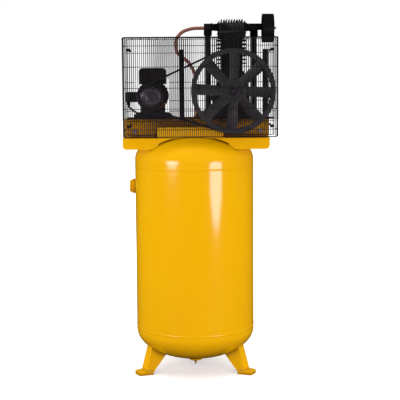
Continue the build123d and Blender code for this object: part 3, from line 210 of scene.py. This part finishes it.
materials = {
    # Its dark brown crevice colour is painted shade in the creases and gaps of the yellow parts.
    "yellow_paint": coated(
        "yellow_paint", (0.98, 0.53, 0.0), (0.97, 0.51, 0.0), 0.42, coat=1.0, coat_rough=0.12, grain=420.0,
        grain_depth=0.00004, wave_depth=0.0003, specular=0.03, painted_crevice_shade=(0.22, 0.07, 0.0)),
    "black_wire": coated("black_wire", (0.007, 0.007, 0.008), (0.004, 0.004, 0.005), 0.45, grain=1200.0),
    "zinc_plate": coated("zinc_plate", (0.82, 0.82, 0.86), (0.70, 0.70, 0.76), 0.30, metallic=0.8),
    "black_enamel": coated(
        "black_enamel", (0.007, 0.007, 0.008), (0.004, 0.004, 0.005), 0.32, coat=0.2, grain=500.0,
        wave_depth=0.0003, edge_wear_and_highlight=(0.03, 0.03, 0.032)),
    "black_cast_iron": coated(
        "black_cast_iron", (0.009, 0.009, 0.010), (0.005, 0.005, 0.006), 0.42, grain=320.0,
        grain_depth=0.0003, wave_depth=0.0005, edge_wear_and_highlight=(0.045, 0.045, 0.047)),
    # Its light edge colour is partly a painted highlight on the rim, hub rings and blades.
    "wheel_paint": coated(
        "wheel_paint", (0.054, 0.058, 0.055), (0.038, 0.041, 0.039), 0.5, grain=320.0,
        grain_depth=0.0002, wave_depth=0.0004, edge_wear_and_highlight=(0.16, 0.16, 0.165)),
    "dark_pipe": coated("dark_pipe", (0.006, 0.006, 0.007), (0.004, 0.004, 0.004), 0.34, grain=700.0),
    "machined_steel": coated("machined_steel", (0.42, 0.42, 0.44), (0.32, 0.32, 0.34), 0.30, metallic=1.0),
    "laminated_steel": coated("laminated_steel", (0.20, 0.20, 0.21), (0.14, 0.14, 0.15), 0.45, metallic=0.9),
    "aluminium": coated("aluminium", (0.70, 0.70, 0.72), (0.60, 0.60, 0.63), 0.33, metallic=1.0),
    "belt_rubber": coated(
        "belt_rubber", (0.007, 0.007, 0.008), (0.005, 0.005, 0.005), 0.72, grain=1500.0, grain_depth=0.0001),
    "copper": coated("copper", (0.62, 0.27, 0.20), (0.44, 0.18, 0.135), 0.42, metallic=0.3, grain=300.0),
    "brass": coated("brass", (0.60, 0.42, 0.17), (0.46, 0.31, 0.12), 0.32, metallic=1.0),
    "black_plastic": coated(
        "black_plastic", (0.020, 0.020, 0.021), (0.015, 0.015, 0.016), 0.5, grain=1400.0, grain_depth=0.0001),
    "red_plastic": coated("red_plastic", (0.50, 0.014, 0.012), (0.40, 0.010, 0.010), 0.42, grain=1400.0),
    "dull_steel": coated(
        "dull_steel", (0.34, 0.34, 0.35), (0.24, 0.24, 0.25), 0.32, metallic=0.9, grain=700.0),
    "filter_paper": coated(
        "filter_paper", (0.05, 0.045, 0.04), (0.03, 0.027, 0.024), 0.9, grain=800.0, grain_depth=0.0002),
    "clear_glass": clear("clear_glass", (0.97, 0.99, 0.98), (0.90, 0.95, 0.94)),
}

# ---- Making pieces ---------------------------------------------------------------------


def new_piece(name, bm, slot, body, smooth_angle=35.0, finish=None):
    """Turns a bmesh into a shaded piece that rides on a body; its finish is its slot's unless given."""
    bmesh.ops.recalc_face_normals(bm, faces=bm.faces)
    mesh = bpy.data.meshes.new(name)
    bm.to_mesh(mesh)
    bm.free()
    mesh.materials.append(materials[finish or slot])
    piece = bpy.data.objects.new(name, mesh)
    bpy.context.scene.collection.objects.link(piece)
    shade(piece, smooth_angle)
    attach(piece, body)
    return piece


def shade(piece, angle):
    """Smooth shading that keeps edges sharper than the angle."""
    mesh = piece.data
    mesh.polygons.foreach_set("use_smooth", [True] * len(mesh.polygons))
    bm = bmesh.new()
    bm.from_mesh(mesh)
    for edge in bm.edges:
        faces = edge.link_faces
        edge.smooth = len(faces) != 2 or faces[0].normal.angle(faces[1].normal, 0.0) < math.radians(angle)
    bm.to_mesh(mesh)
    bm.free()


SAME_POINT = 0.02 * MM
FLAT_ANGLE, BEVEL_ANGLE = math.radians(1.0), math.radians(38.0)


def refined(node, width):
    """A copy of a CAD node with clean flat faces and rounded edges; it stands for the node."""
    bm = bmesh.new()
    bm.from_mesh(nodes[node].data)
    bmesh.ops.remove_doubles(bm, verts=bm.verts, dist=SAME_POINT)
    bmesh.ops.dissolve_limit(bm, angle_limit=FLAT_ANGLE, verts=bm.verts, edges=bm.edges)
    piece = new_piece(node + "_finished", bm, slot_of[node], body_of[node])
    bevel = piece.modifiers.new("rounded_edges", "BEVEL")
    bevel.width = width * MM
    bevel.segments = 2
    bevel.limit_method = "ANGLE"
    bevel.angle_limit = BEVEL_ANGLE
    bevel.use_clamp_overlap = True
    bevel.harden_normals = True
    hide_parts(node)


def circle(count):
    """Angles evenly spaced round a full turn."""
    return [2 * math.pi * k / count for k in range(count)]


ON_AXIS = 0.001 * MM


def add_turned(bm, centre, axis, profile, segments=96, ring=False):
    """Adds a surface turned about an axis from (radius, distance) points; a ring's outline is closed."""
    side = RIGHT if abs(axis.x) < 0.5 else UP
    across = axis.cross(side)
    rings = []
    for radius, along in profile:
        middle = centre + axis * along
        if radius < ON_AXIS:
            rings.append([bm.verts.new(middle)])
        else:
            rings.append([bm.verts.new(middle + radius * (side * math.cos(a) + across * math.sin(a)))
                          for a in circle(segments)])
    following_rings = rings[1:] + (rings[:1] if ring else [])
    for low, high in zip(rings, following_rings):
        for k in range(segments):
            following = (k + 1) % segments
            corners = []
            for vertex in (low[k % len(low)], low[following % len(low)],
                           high[following % len(high)], high[k % len(high)]):
                if vertex not in corners:
                    corners.append(vertex)
            if len(corners) > 2:
                bm.faces.new(corners)


def join_rings(bm, rings, looped=False):
    """Adds the faces between equal rings of vertices; the end rings are closed unless they meet."""
    for first, second in zip(rings, rings[1:] + (rings[:1] if looped else [])):
        for k in range(len(first)):
            following = (k + 1) % len(first)
            bm.faces.new((first[k], first[following], second[following], second[k]))
    if not looped:
        bm.faces.new(rings[0])
        bm.faces.new(rings[-1])


NEARLY_STRAIGHT = math.radians(86)
LARGEST_SHARE = 0.45


def rounded(outline, radius, steps=4):
    """A closed flat outline with its corners rounded; the radius shrinks on short sides."""
    points = [Vector(p).to_2d() for p in outline]
    path = []
    for index, corner in enumerate(points):
        before, after = points[index - 1], points[(index + 1) % len(points)]
        inward, outward = before - corner, after - corner
        shortest = min(inward.length, outward.length)
        half = inward.angle(outward) / 2
        if half > NEARLY_STRAIGHT:
            path.append(tuple(corner))
            continue
        reach = min(radius / math.tan(half), shortest * LARGEST_SHARE)
        start, end = corner + inward.normalized() * reach, corner + outward.normalized() * reach
        for step in range(steps + 1):
            share = step / steps
            point = start * (1 - share) ** 2 + corner * 2 * share * (1 - share) + end * share ** 2
            path.append(tuple(point))
    return path


def add_wire(bm, points, radius, sides=8):
    """Adds a round wire along a list of points, with closed ends."""
    points = [Vector(p) for p in points]
    rings = []
    normal = None
    for index, point in enumerate(points):
        before = points[max(index - 1, 0)]
        after = points[min(index + 1, len(points) - 1)]
        along = (after - before).normalized()
        if normal is None:
            normal = along.orthogonal().normalized()
        normal = (normal - along * normal.dot(along)).normalized()
        across = along.cross(normal)
        rings.append([bm.verts.new(point + radius * (normal * math.cos(a) + across * math.sin(a)))
                      for a in circle(sides)])
    join_rings(bm, rings)


def bent(points, radius, steps=5):
    """The points of a polyline with its corners rounded to a radius."""
    points = [Vector(p) for p in points]
    path = [points[0]]
    for before, corner, after in zip(points, points[1:], points[2:]):
        inward = (before - corner).normalized()
        outward = (after - corner).normalized()
        half = inward.angle(outward) / 2
        reach = radius / math.tan(half)
        start, end = corner + inward * reach, corner + outward * reach
        centre = corner + (inward + outward).normalized() * radius / math.sin(half)
        first, last = start - centre, end - centre
        turn = first.angle(last)
        for step in range(steps + 1):
            share = step / steps
            arm = first * math.sin((1 - share) * turn) + last * math.sin(share * turn)
            path.append(centre + arm / math.sin(turn))
    path.append(points[-1])
    return path


def middle_of(node):
    """The centre of a CAD node's box, seen from the front, as a point at y = 0."""
    low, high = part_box(node)
    return Vector(((low.x + high.x) / 2, 0, (low.z + high.z) / 2))


# ---- Tank ------------------------------------------------------------------------------

shell_low, shell_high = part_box("tank_shell")
CAD_BEAD, BEAD_HEIGHT = 1.5 * MM, 1.4 * MM
# Millimetres from a seam: a weld bead's edge, and the rings of points beside it.
BEAD_EDGE, SUPPORT_RINGS = 4, (5, 8, 12)
tank_radius = shell_high.x - CAD_BEAD
head_depth = tank_radius / 2
tank_bottom, tank_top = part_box("tank_bottom_head")[0].z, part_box("tank_top_head")[1].z


def tank_profile():
    """The tank's outline from its lowest point to its highest: heads, shell and weld beads.

    The rings beside each bead keep its shading off the shell.
    """
    arc = [math.radians(90.0 * k / 40) for k in range(41)]
    low_centre, high_centre = tank_bottom + head_depth, tank_top - head_depth
    lower = [(tank_radius * math.sin(a), low_centre - head_depth * math.cos(a)) for a in arc]
    upper = [(tank_radius * math.cos(a), high_centre + head_depth * math.sin(a)) for a in arc]
    beads = []
    for seam in (shell_low.z, shell_high.z):
        beads += [(tank_radius, seam - away * MM) for away in reversed(SUPPORT_RINGS)]
        for k in range(2 * BEAD_EDGE + 1):
            height = BEAD_HEIGHT * math.sin(math.pi * k / (2 * BEAD_EDGE))
            beads.append((tank_radius + height, seam - (BEAD_EDGE - k) * MM))
        beads += [(tank_radius, seam + away * MM) for away in SUPPORT_RINGS]
    return lower + beads + upper


bm = bmesh.new()
add_turned(bm, Vector((0, 0, 0)), UP, tank_profile(), segments=256)
tank_body = new_piece("tank_body", bm, "yellow_paint", "compressor", 60.0)
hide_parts("tank_shell", "tank_top_head", "tank_bottom_head")

# ---- Wire guard ------------------------------------------------------------------------

guard_low, guard_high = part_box("guard_front")
# Radii of the CAD's rods, and of the rods and wires here.
CAD_ROD = 4 * MM
SIDE_ROD, RAIL_ROD, FRONT_ROD, REAR_ROD, WIRE = 5 * MM, 5 * MM, 2.6 * MM, 1.8 * MM, 1.5 * MM
WIRE_COUNT, LID_EVERY, ROD_SIDES = 73, 4, 12
# How far below the top each cross wire is, in millimetres.
FRONT_DROPS = (41, 144, 248, 351, 453)
REAR_DROPS = (72, 142, 220, 313, 366, 418)
RIM_BEND, BACK_BEND, LID_BEND, CROSS_BEND = 8 * MM, 9 * MM, 6 * MM, 5 * MM
HALVES_OVERLAP, REAR_INSET = 8 * MM, 3 * MM
SHORTEST_WIRE = 4 * MM
rail_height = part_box("platform")[1].z + RAIL_ROD
left, right = guard_low.x + CAD_ROD, guard_high.x - CAD_ROD
low, high = guard_low.z + CAD_ROD, guard_high.z - CAD_ROD
front, rear = guard_low.y + CAD_ROD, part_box("guard_rear")[1].y - CAD_ROD
pitch = (right - left) / (WIRE_COUNT + 1)

# Windows in the rear half, as (left, right, bottom, top): round the motor, round the pump's
# nose, and over the raised box of the platform.
motor, pump = middle_of("motor_shell"), middle_of("crankcase_covers")
BOX_LEFT, BOX_RIGHT, BOX_TOP = -186 * MM, 155 * MM, 1282 * MM
WINDOWS = (
    (motor.x - 86 * MM, motor.x + 86 * MM, motor.z - 110 * MM, motor.z + 88 * MM),
    (pump.x - 72 * MM, pump.x + 72 * MM, pump.z - 72 * MM, pump.z + 72 * MM),
    (BOX_LEFT, BOX_RIGHT, 0, BOX_TOP),
)


def spans_outside(start, end, gaps):
    """What is left of a stretch when the gaps are taken out of it."""
    spans = [(start, end)]
    for gap_low, gap_high in gaps:
        cut = []
        for a, b in spans:
            if gap_high <= a or gap_low >= b:
                cut.append((a, b))
            else:
                cut += [span for span in ((a, gap_low), (gap_high, b)) if span[1] - span[0] > SHORTEST_WIRE]
        spans = cut
    return spans


def add_frame(bm, y, back, x0, x1, top, rod, windows):
    """Adds a half's rim and the rods or wires at its edges; the rear half also has a rail."""
    rim = [(x0, y, low), (x0, y, top), (x1, y, top), (x1, y, low)]
    if windows:
        rim = [(BOX_LEFT, y, low)] + rim + [(BOX_RIGHT, y, low)]
        add_wire(bm, bent(rim, RIM_BEND), rod, ROD_SIDES)
        for x in (x0, x1):
            add_wire(bm, bent([(x, y, top), (x, back, top), (x, back, low)], BACK_BEND), WIRE)
        add_wire(bm, [(x0, y, rail_height), (x1, y, rail_height)], RAIL_ROD, ROD_SIDES)
    else:
        add_wire(bm, bent(rim + rim[:1], RIM_BEND), rod, ROD_SIDES)
        for x in (x0, x1):
            add_wire(bm, [(x, y, low), (x, y, top)], SIDE_ROD, ROD_SIDES)
            add_wire(bm, [(x, y, top), (x, back, top)], WIRE)
        add_wire(bm, [(x0, back, top), (x1, back, top)], WIRE)


def add_uprights(bm, y, back, top, windows):
    """Adds the upright wires; every fourth one goes on over the top."""
    for k in range(1, WIRE_COUNT + 1):
        x = left + pitch * k
        gaps = [(bottom, ceiling) for side0, side1, bottom, ceiling in windows if side0 < x < side1]
        spans = spans_outside(low, top, gaps)
        for start, end in spans[:-1]:
            add_wire(bm, [(x, y, start), (x, y, end)], WIRE)
        start = spans[-1][0]
        if k % LID_EVERY == 0:
            add_wire(bm, bent([(x, y, start), (x, y, top), (x, back, top)], LID_BEND, 3), WIRE)
        else:
            add_wire(bm, [(x, y, start), (x, y, top)], WIRE)


def add_cross_wires(bm, y, back, x0, x1, drops, windows):
    """Adds the cross wires, which lie inside the upright ones and turn back at the edges."""
    inner = y + math.copysign(2 * WIRE, back - y)
    for drop in drops:
        z = high - drop * MM
        gaps = [(side0, side1) for side0, side1, bottom, ceiling in windows if bottom < z < ceiling]
        spans = spans_outside(x0, x1, gaps)
        for index, (start, end) in enumerate(spans):
            points = [(start, inner, z), (end, inner, z)]
            if index == 0:
                points = [(x0, back, z)] + points
            if index == len(spans) - 1:
                points = points + [(x1, back, z)]
            add_wire(bm, bent(points, CROSS_BEND, 3), WIRE)


def guard_half(name, node, y, back, drops, windows, inset, rod):
    """One half of the guard, from its face at y back to where it meets the other half."""
    bm = bmesh.new()
    x0, x1, top = left + inset, right - inset, high - inset
    add_frame(bm, y, back, x0, x1, top, rod, windows)
    add_uprights(bm, y, back, top, windows)
    add_cross_wires(bm, y, back, x0, x1, drops, windows)
    piece = new_piece(name, bm, "black_wire", "compressor", 50.0)
    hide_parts(node)
    return piece


meeting = (front + rear) / 2
front_half = guard_half("guard_front_basket", "guard_front", front, meeting + HALVES_OVERLAP,
                        FRONT_DROPS, (), 0.0, FRONT_ROD)
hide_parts("guard_side_meshes")
guard_half("guard_rear_basket", "guard_rear", rear, meeting - HALVES_OVERLAP,
           REAR_DROPS, WINDOWS, REAR_INSET, REAR_ROD)

# Each clip is a plate on the front mesh and a spacer through to the rear one, with a nut at each end.
clip_low, clip_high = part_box("guard_clips")
CLIP_HALF_WIDTH, CLIP_HALF_HEIGHT, PLATE_HALF_HEIGHT = 11 * MM, 8 * MM, 7.5 * MM
SPACER_RADIUS = 3 * MM
# The plate's layers, as (share of its outline, millimetres in front of the guard's face).
PLATE_LAYERS = ((1.0, 1.5), (1.0, 4.0), (0.92, 4.8))
NUT_SEAT, NUT_SIDES = 4.4 * MM, 6
# The nut's outline, as (radius, distance from its seat) in millimetres.
NUT = [(0, 0), (4.2, 0), (6.0, 0.4), (6.0, 2.8), (5.2, 3.6), (0, 3.6)]
nut_profile = [(radius * MM, along * MM) for radius, along in NUT]
plate = rounded([(-CLIP_HALF_WIDTH, -PLATE_HALF_HEIGHT), (CLIP_HALF_WIDTH, -PLATE_HALF_HEIGHT),
                 (CLIP_HALF_WIDTH, PLATE_HALF_HEIGHT), (-CLIP_HALF_WIDTH, PLATE_HALF_HEIGHT)], 3 * MM)
spacer_profile = [(0, front), (SPACER_RADIUS, front), (SPACER_RADIUS, rear), (0, rear)]
bm = bmesh.new()
for x in (clip_low.x + CLIP_HALF_WIDTH, clip_high.x - CLIP_HALF_WIDTH):
    for z in (clip_low.z + CLIP_HALF_HEIGHT, clip_high.z - CLIP_HALF_HEIGHT):
        join_rings(bm, [[bm.verts.new((x + wide * share, front - step * MM, z + tall * share))
                         for wide, tall in plate] for share, step in PLATE_LAYERS])
        add_turned(bm, Vector((x, front - NUT_SEAT, z)), -BACK, nut_profile, NUT_SIDES)
        add_turned(bm, Vector((x, rear, z)), BACK, nut_profile, NUT_SIDES)
        add_turned(bm, Vector((x, 0, z)), BACK, spacer_profile, segments=16)
clips = new_piece("mesh_clips", bm, "black_wire", "compressor", 30.0)
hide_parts("guard_clips")

# ---- Flywheel --------------------------------------------------------------------------

rim_low, rim_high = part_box("flywheel_rim")
wheel_centre = middle_of("flywheel_rim")
wheel_radius = (rim_high.x - rim_low.x) / 2
RIM_WIDTH, RIM_CROWN = 23 * MM, 1 * MM
rim_inner = wheel_radius - RIM_WIDTH
sheave_front, sheave_back = rim_low.y, rim_high.y
sheave_middle = (sheave_front + sheave_back) / 2
GROOVE_DEPTH, GROOVE_TOP_HALF, GROOVE_FLOOR_HALF = 13 * MM, 8.0 * MM, 4.4 * MM
GROOVE_OFFSET = 9.5 * MM
grooves = (sheave_middle - GROOVE_OFFSET, sheave_middle + GROOVE_OFFSET)


def sheave_outline(radius):
    """The outer side of a belt wheel with a V groove for each belt, from front edge to back edge."""
    outline = [(radius, sheave_front)]
    for line in grooves:
        outline += [(radius, line - GROOVE_TOP_HALF), (radius - GROOVE_DEPTH, line - GROOVE_FLOOR_HALF),
                    (radius - GROOVE_DEPTH, line + GROOVE_FLOOR_HALF), (radius, line + GROOVE_TOP_HALF)]
    return outline + [(radius, sheave_back)]


def from_face(points):
    """(radius, distance behind the wheels' front faces) in millimetres, as metres along Y."""
    return [(radius * MM, sheave_front + along * MM) for radius, along in points]


bm = bmesh.new()
rim_outline = sheave_outline(wheel_radius) + [
    (rim_inner, sheave_back), (rim_inner - RIM_CROWN, sheave_middle), (rim_inner, sheave_front)]
add_turned(bm, wheel_centre, BACK, rounded(rim_outline, 1.6 * MM), segments=192, ring=True)
wheel_rim = new_piece("wheel_rim", bm, "black_cast_iron", "flywheel", 40.0, "wheel_paint")
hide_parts("flywheel_rim")

# Outlines given as (radius, distance behind the front face), in millimetres, go through from_face.
HUB_OUTLINE = [(17, 3), (22, 3), (24, 6), (38, 6), (41, 1), (46, 1), (49, 7), (56, 9), (58.5, 6), (62.5, 8),
               (62.5, 40), (34, 44), (30, 58), (17, 58)]
BLADE_COUNT, FIRST_BLADE = 8, math.radians(-3)
BLADE_ROOT, BLADE_TIP = 57.5 * MM, rim_inner - 0.2 * MM
BLADE_HALF_CHORD, BLADE_HALF_THICKNESS, BLADE_PITCH = 32 * MM, 3.5 * MM, math.radians(34)
BLADE_CAMBER = 3.0 * MM
# Extra thickness where a blade runs into the hub and the rim, and the share of its length that has it.
ROOT_FLARE, ROOT_REACH, TIP_FLARE, TIP_REACH = 0.55, 0.12, 0.35, 0.1
# Chord and twist at the root, as shares of the ones above, and how much they change by the tip.
ROOT_CHORD, CHORD_CHANGE, ROOT_TWIST, TWIST_CHANGE = 0.90, 0.12, 1.06, -0.12
ALONG_POWER, ACROSS_POWER = 0.55, 0.8
BLADE_STEPS, BLADE_SIDES = 12, 24


def flattened(value, power):
    """A sine or cosine pushed towards 1 or -1, which squares off a round section."""
    return math.copysign(abs(value) ** power, value)


def blade_section(bm, share, outward, tangent):
    """One ring of a twisted, cambered blade, at this share of the way from root to tip."""
    root_flare = ROOT_FLARE * max(0.0, 1 - share / ROOT_REACH) ** 2
    tip_flare = TIP_FLARE * max(0.0, 1 - (1 - share) / TIP_REACH) ** 2
    chord = BLADE_HALF_CHORD * (ROOT_CHORD + CHORD_CHANGE * share)
    thick = BLADE_HALF_THICKNESS * (1.0 + root_flare + tip_flare)
    twist = BLADE_PITCH * (ROOT_TWIST + TWIST_CHANGE * share)
    wide = tangent * math.cos(twist) - BACK * math.sin(twist)
    deep = -BACK * math.cos(twist) - tangent * math.sin(twist)
    middle = wheel_centre + BACK * sheave_middle + outward * (BLADE_ROOT + (BLADE_TIP - BLADE_ROOT) * share)
    ring = []
    for turn in circle(BLADE_SIDES):
        along, up = flattened(math.cos(turn), ALONG_POWER), flattened(math.sin(turn), ACROSS_POWER)
        camber = BLADE_CAMBER * (0.5 - along * along)
        ring.append(bm.verts.new(middle + wide * chord * along + deep * (thick * up + camber)))
    return ring


bm = bmesh.new()
add_turned(bm, wheel_centre, BACK, rounded(from_face(HUB_OUTLINE), 1.5 * MM), segments=128, ring=True)
for turn in circle(BLADE_COUNT):
    angle = FIRST_BLADE + turn
    outward = Vector((math.cos(angle), 0, math.sin(angle)))
    tangent = Vector((-math.sin(angle), 0, math.cos(angle)))
    join_rings(bm, [blade_section(bm, step / BLADE_STEPS, outward, tangent)
                    for step in range(BLADE_STEPS + 1)])
wheel_spokes = new_piece("wheel_spokes", bm, "black_cast_iron", "flywheel", 40.0, "wheel_paint")
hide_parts("flywheel_spokes")

# ---- Motor pulley ----------------------------------------------------------------------

pulley_low, pulley_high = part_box("motor_pulley")
pulley_centre = middle_of("motor_pulley")
pulley_radius = (pulley_high.x - pulley_low.x) / 2
PULLEY_FRONT = [(11, 4), (17, 4), (19, 6), (20, 11), (40, 12), (48, 7), (50, 0)]
PULLEY_BACK = [(46, 44), (42, 30), (22, 30), (22, 52), (11, 52)]
BARE_RADIUS, BARE_DEPTH = 50.5 * MM, 20 * MM
bm = bmesh.new()
pulley_outline = from_face(PULLEY_FRONT) + sheave_outline(pulley_radius) + from_face(PULLEY_BACK)
add_turned(bm, pulley_centre, BACK, rounded(pulley_outline, 1.2 * MM), segments=128, ring=True)
pulley = new_piece("belt_pulley", bm, "black_cast_iron", "motor_rotor", 40.0)
pulley.data.materials.append(materials["dull_steel"])
for face in pulley.data.polygons:
    out = face.center - pulley_centre
    if math.hypot(out.x, out.z) < BARE_RADIUS and face.center.y < sheave_front + BARE_DEPTH:
        face.material_index = 1
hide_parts("motor_pulley")

# ---- Belts -----------------------------------------------------------------------------

BELT_HEIGHT, BELT_SINK = 9 * MM, 7.5 * MM
BELT_TOP_HALF, BELT_LOW_HALF, BELT_EDGE = 7.0 * MM, 3.9 * MM, 1.2 * MM
WHEEL_STEPS, PULLEY_STEPS = 96, 40


def belt_track():
    """Points round both wheels at the belt's middle height, with the outward direction at each."""
    rise = BELT_HEIGHT / 2 - BELT_SINK
    big, small = wheel_radius + rise, pulley_radius + rise
    between = pulley_centre - wheel_centre
    base = math.atan2(between.z, between.x)
    lean = math.acos((big - small) / between.length)
    track = []
    for centre, radius, start, end, steps in (
            (wheel_centre, big, base + lean, base + 2 * math.pi - lean, WHEEL_STEPS),
            (pulley_centre, small, base - lean, base + lean, PULLEY_STEPS)):
        for step in range(steps + 1):
            angle = start + (end - start) * step / steps
            outward = Vector((math.cos(angle), 0, math.sin(angle)))
            track.append((centre + outward * radius, outward))
    return track


shoulder = BELT_HEIGHT / 2 - BELT_EDGE
section = rounded([(-BELT_LOW_HALF, -BELT_HEIGHT / 2), (BELT_LOW_HALF, -BELT_HEIGHT / 2),
                   (BELT_TOP_HALF, shoulder), (BELT_TOP_HALF, BELT_HEIGHT / 2),
                   (-BELT_TOP_HALF, BELT_HEIGHT / 2), (-BELT_TOP_HALF, shoulder)], 0.8 * MM, 3)
bm = bmesh.new()
for line in grooves:
    join_rings(bm, [[bm.verts.new(point + outward * up + BACK * (line + wide)) for wide, up in section]
                    for point, outward in belt_track()], looped=True)
belts = new_piece("v_belts", bm, "belt_rubber", "compressor", 40.0)
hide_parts("drive_belts")

# ---- The rest: CAD shapes with rounded edges -------------------------------------------

BUILT = {"tank_shell", "tank_top_head", "tank_bottom_head", "guard_front", "guard_rear", "guard_side_meshes",
         "guard_clips", "flywheel_rim", "flywheel_spokes", "motor_pulley", "drive_belts"}
USUAL_ROUNDING = 0.6
ROUNDING = {"crankcase": 2.5, "crankcase_covers": 1.5, "cylinder_block": 1.2, "cylinder_head": 1.0,
            "motor_end_bells": 1.2, "platform": 1.2, "tank_legs": 1.4, "tank_couplings": 2.0}
for node in nodes:
    if node not in BUILT:
        refined(node, ROUNDING.get(node, USUAL_ROUNDING))

# ---- Floor -----------------------------------------------------------------------------

WHITE = (1.0, 1.0, 1.0)
FLOOR_HALF = 30.0


def pale_floor():
    """Near white to the camera, brighter away from the object; grey as bounced light, dark in reflections."""
    n = Nodes("pale_floor")
    rays = n.new("LightPath")
    seen, mirrored = rays.outputs["Is Camera Ray"], rays.outputs["Is Glossy Ray"]
    shade_seen = n.ramp(n.noise(2.0), [(0.3, (0.90, 0.90, 0.90)), (0.7, (0.93, 0.93, 0.93))])
    shade_unseen = n.blend(mirrored, (0.24, 0.24, 0.24), (0.01, 0.01, 0.01))
    n.link(n.blend(seen, shade_unseen, shade_seen), n.shader.inputs["Base Color"])
    n.shader.inputs["Roughness"].default_value = 0.9
    n.shader.inputs["Emission Color"].default_value = (*WHITE, 1.0)
    reach = n.new("VectorMath")
    reach.operation = "LENGTH"
    n.link(n.place, reach.inputs[0])
    glow = n.new("Math")
    glow.operation = "MULTIPLY"
    n.link(n.span(reach.outputs["Value"], 0.4, 1.0, from_low=0.4, from_high=3.0), glow.inputs[0])
    n.link(seen, glow.inputs[1])
    n.link(glow.outputs[0], n.shader.inputs["Emission Strength"])
    return n.material


floor_mesh = bpy.data.meshes.new("floor")
bm = bmesh.new()
bmesh.ops.create_grid(bm, x_segments=2, y_segments=2, size=FLOOR_HALF)
bm.to_mesh(floor_mesh)
bm.free()
floor_mesh.materials.append(pale_floor())
floor = bpy.data.objects.new("floor", floor_mesh)
bpy.context.scene.collection.objects.link(floor)

# ---- Light -----------------------------------------------------------------------------

SKY_LIGHT, SKY_REFLECTED = 0.71, 0.008


def studio():
    """A white surround: plain to the camera, softer as light, and nearly black in reflections."""
    world = bpy.data.worlds.new("studio")
    world.use_nodes = True
    tree = world.node_tree
    rays = tree.nodes.new("ShaderNodeLightPath")
    strength = tree.nodes.new("ShaderNodeMapRange")
    strength.inputs["To Min"].default_value = SKY_LIGHT
    strength.inputs["To Max"].default_value = SKY_REFLECTED
    tree.links.new(rays.outputs["Is Glossy Ray"], strength.inputs["Value"])
    unseen = tree.nodes["Background"]
    tree.links.new(strength.outputs["Result"], unseen.inputs["Strength"])
    seen = tree.nodes.new("ShaderNodeBackground")
    seen.inputs["Strength"].default_value = 1.0
    for surround in (unseen, seen):
        surround.inputs["Color"].default_value = (*WHITE, 1.0)
    either = tree.nodes.new("ShaderNodeMixShader")
    tree.links.new(rays.outputs["Is Camera Ray"], either.inputs[0])
    tree.links.new(unseen.outputs[0], either.inputs[1])
    tree.links.new(seen.outputs[0], either.inputs[2])
    tree.links.new(either.outputs[0], tree.nodes["World Output"].inputs["Surface"])
    return world


ROSE = (1.0, 0.84, 1.0)


def softbox(name, place, target, width, height, power, reflected=False):
    """A soft area light aimed at a point; the reflected ones are oval, rose and give the highlights."""
    light = bpy.data.lights.new(name, "AREA")
    light.shape = "ELLIPSE" if reflected else "RECTANGLE"
    light.size, light.size_y = width, height
    light.energy = power
    light.color = ROSE if reflected else WHITE
    lamp = bpy.data.objects.new(name, light)
    lamp.location = place
    lamp.rotation_euler = (Vector(target) - Vector(place)).to_track_quat("-Z", "Y").to_euler()
    lamp.visible_glossy = reflected
    bpy.context.scene.collection.objects.link(lamp)


bpy.context.scene.world = studio()
softbox("oval_right", (1.93, -2.3, 0.80), (0, 0, 0.9), 1.25, 0.90, 26, True)
softbox("oval_left", (-1.93, -2.3, 1.14), (0, 0, 1.0), 1.45, 0.62, 24, True)
softbox("side_right", (3.2, 0.3, 1.4), (0, 0, 0.9), 1.5, 2.0, 17)
softbox("side_left", (-3.2, 0.3, 1.4), (0, 0, 0.9), 1.5, 2.0, 26)
softbox("back_fill", (0, 4.5, 2.0), (0, 0, 1.0), 3.0, 1.5, 60)
softbox("overhead", (0, -0.4, 4.5), (0, 0, 0.0), 3.0, 3.0, 40)
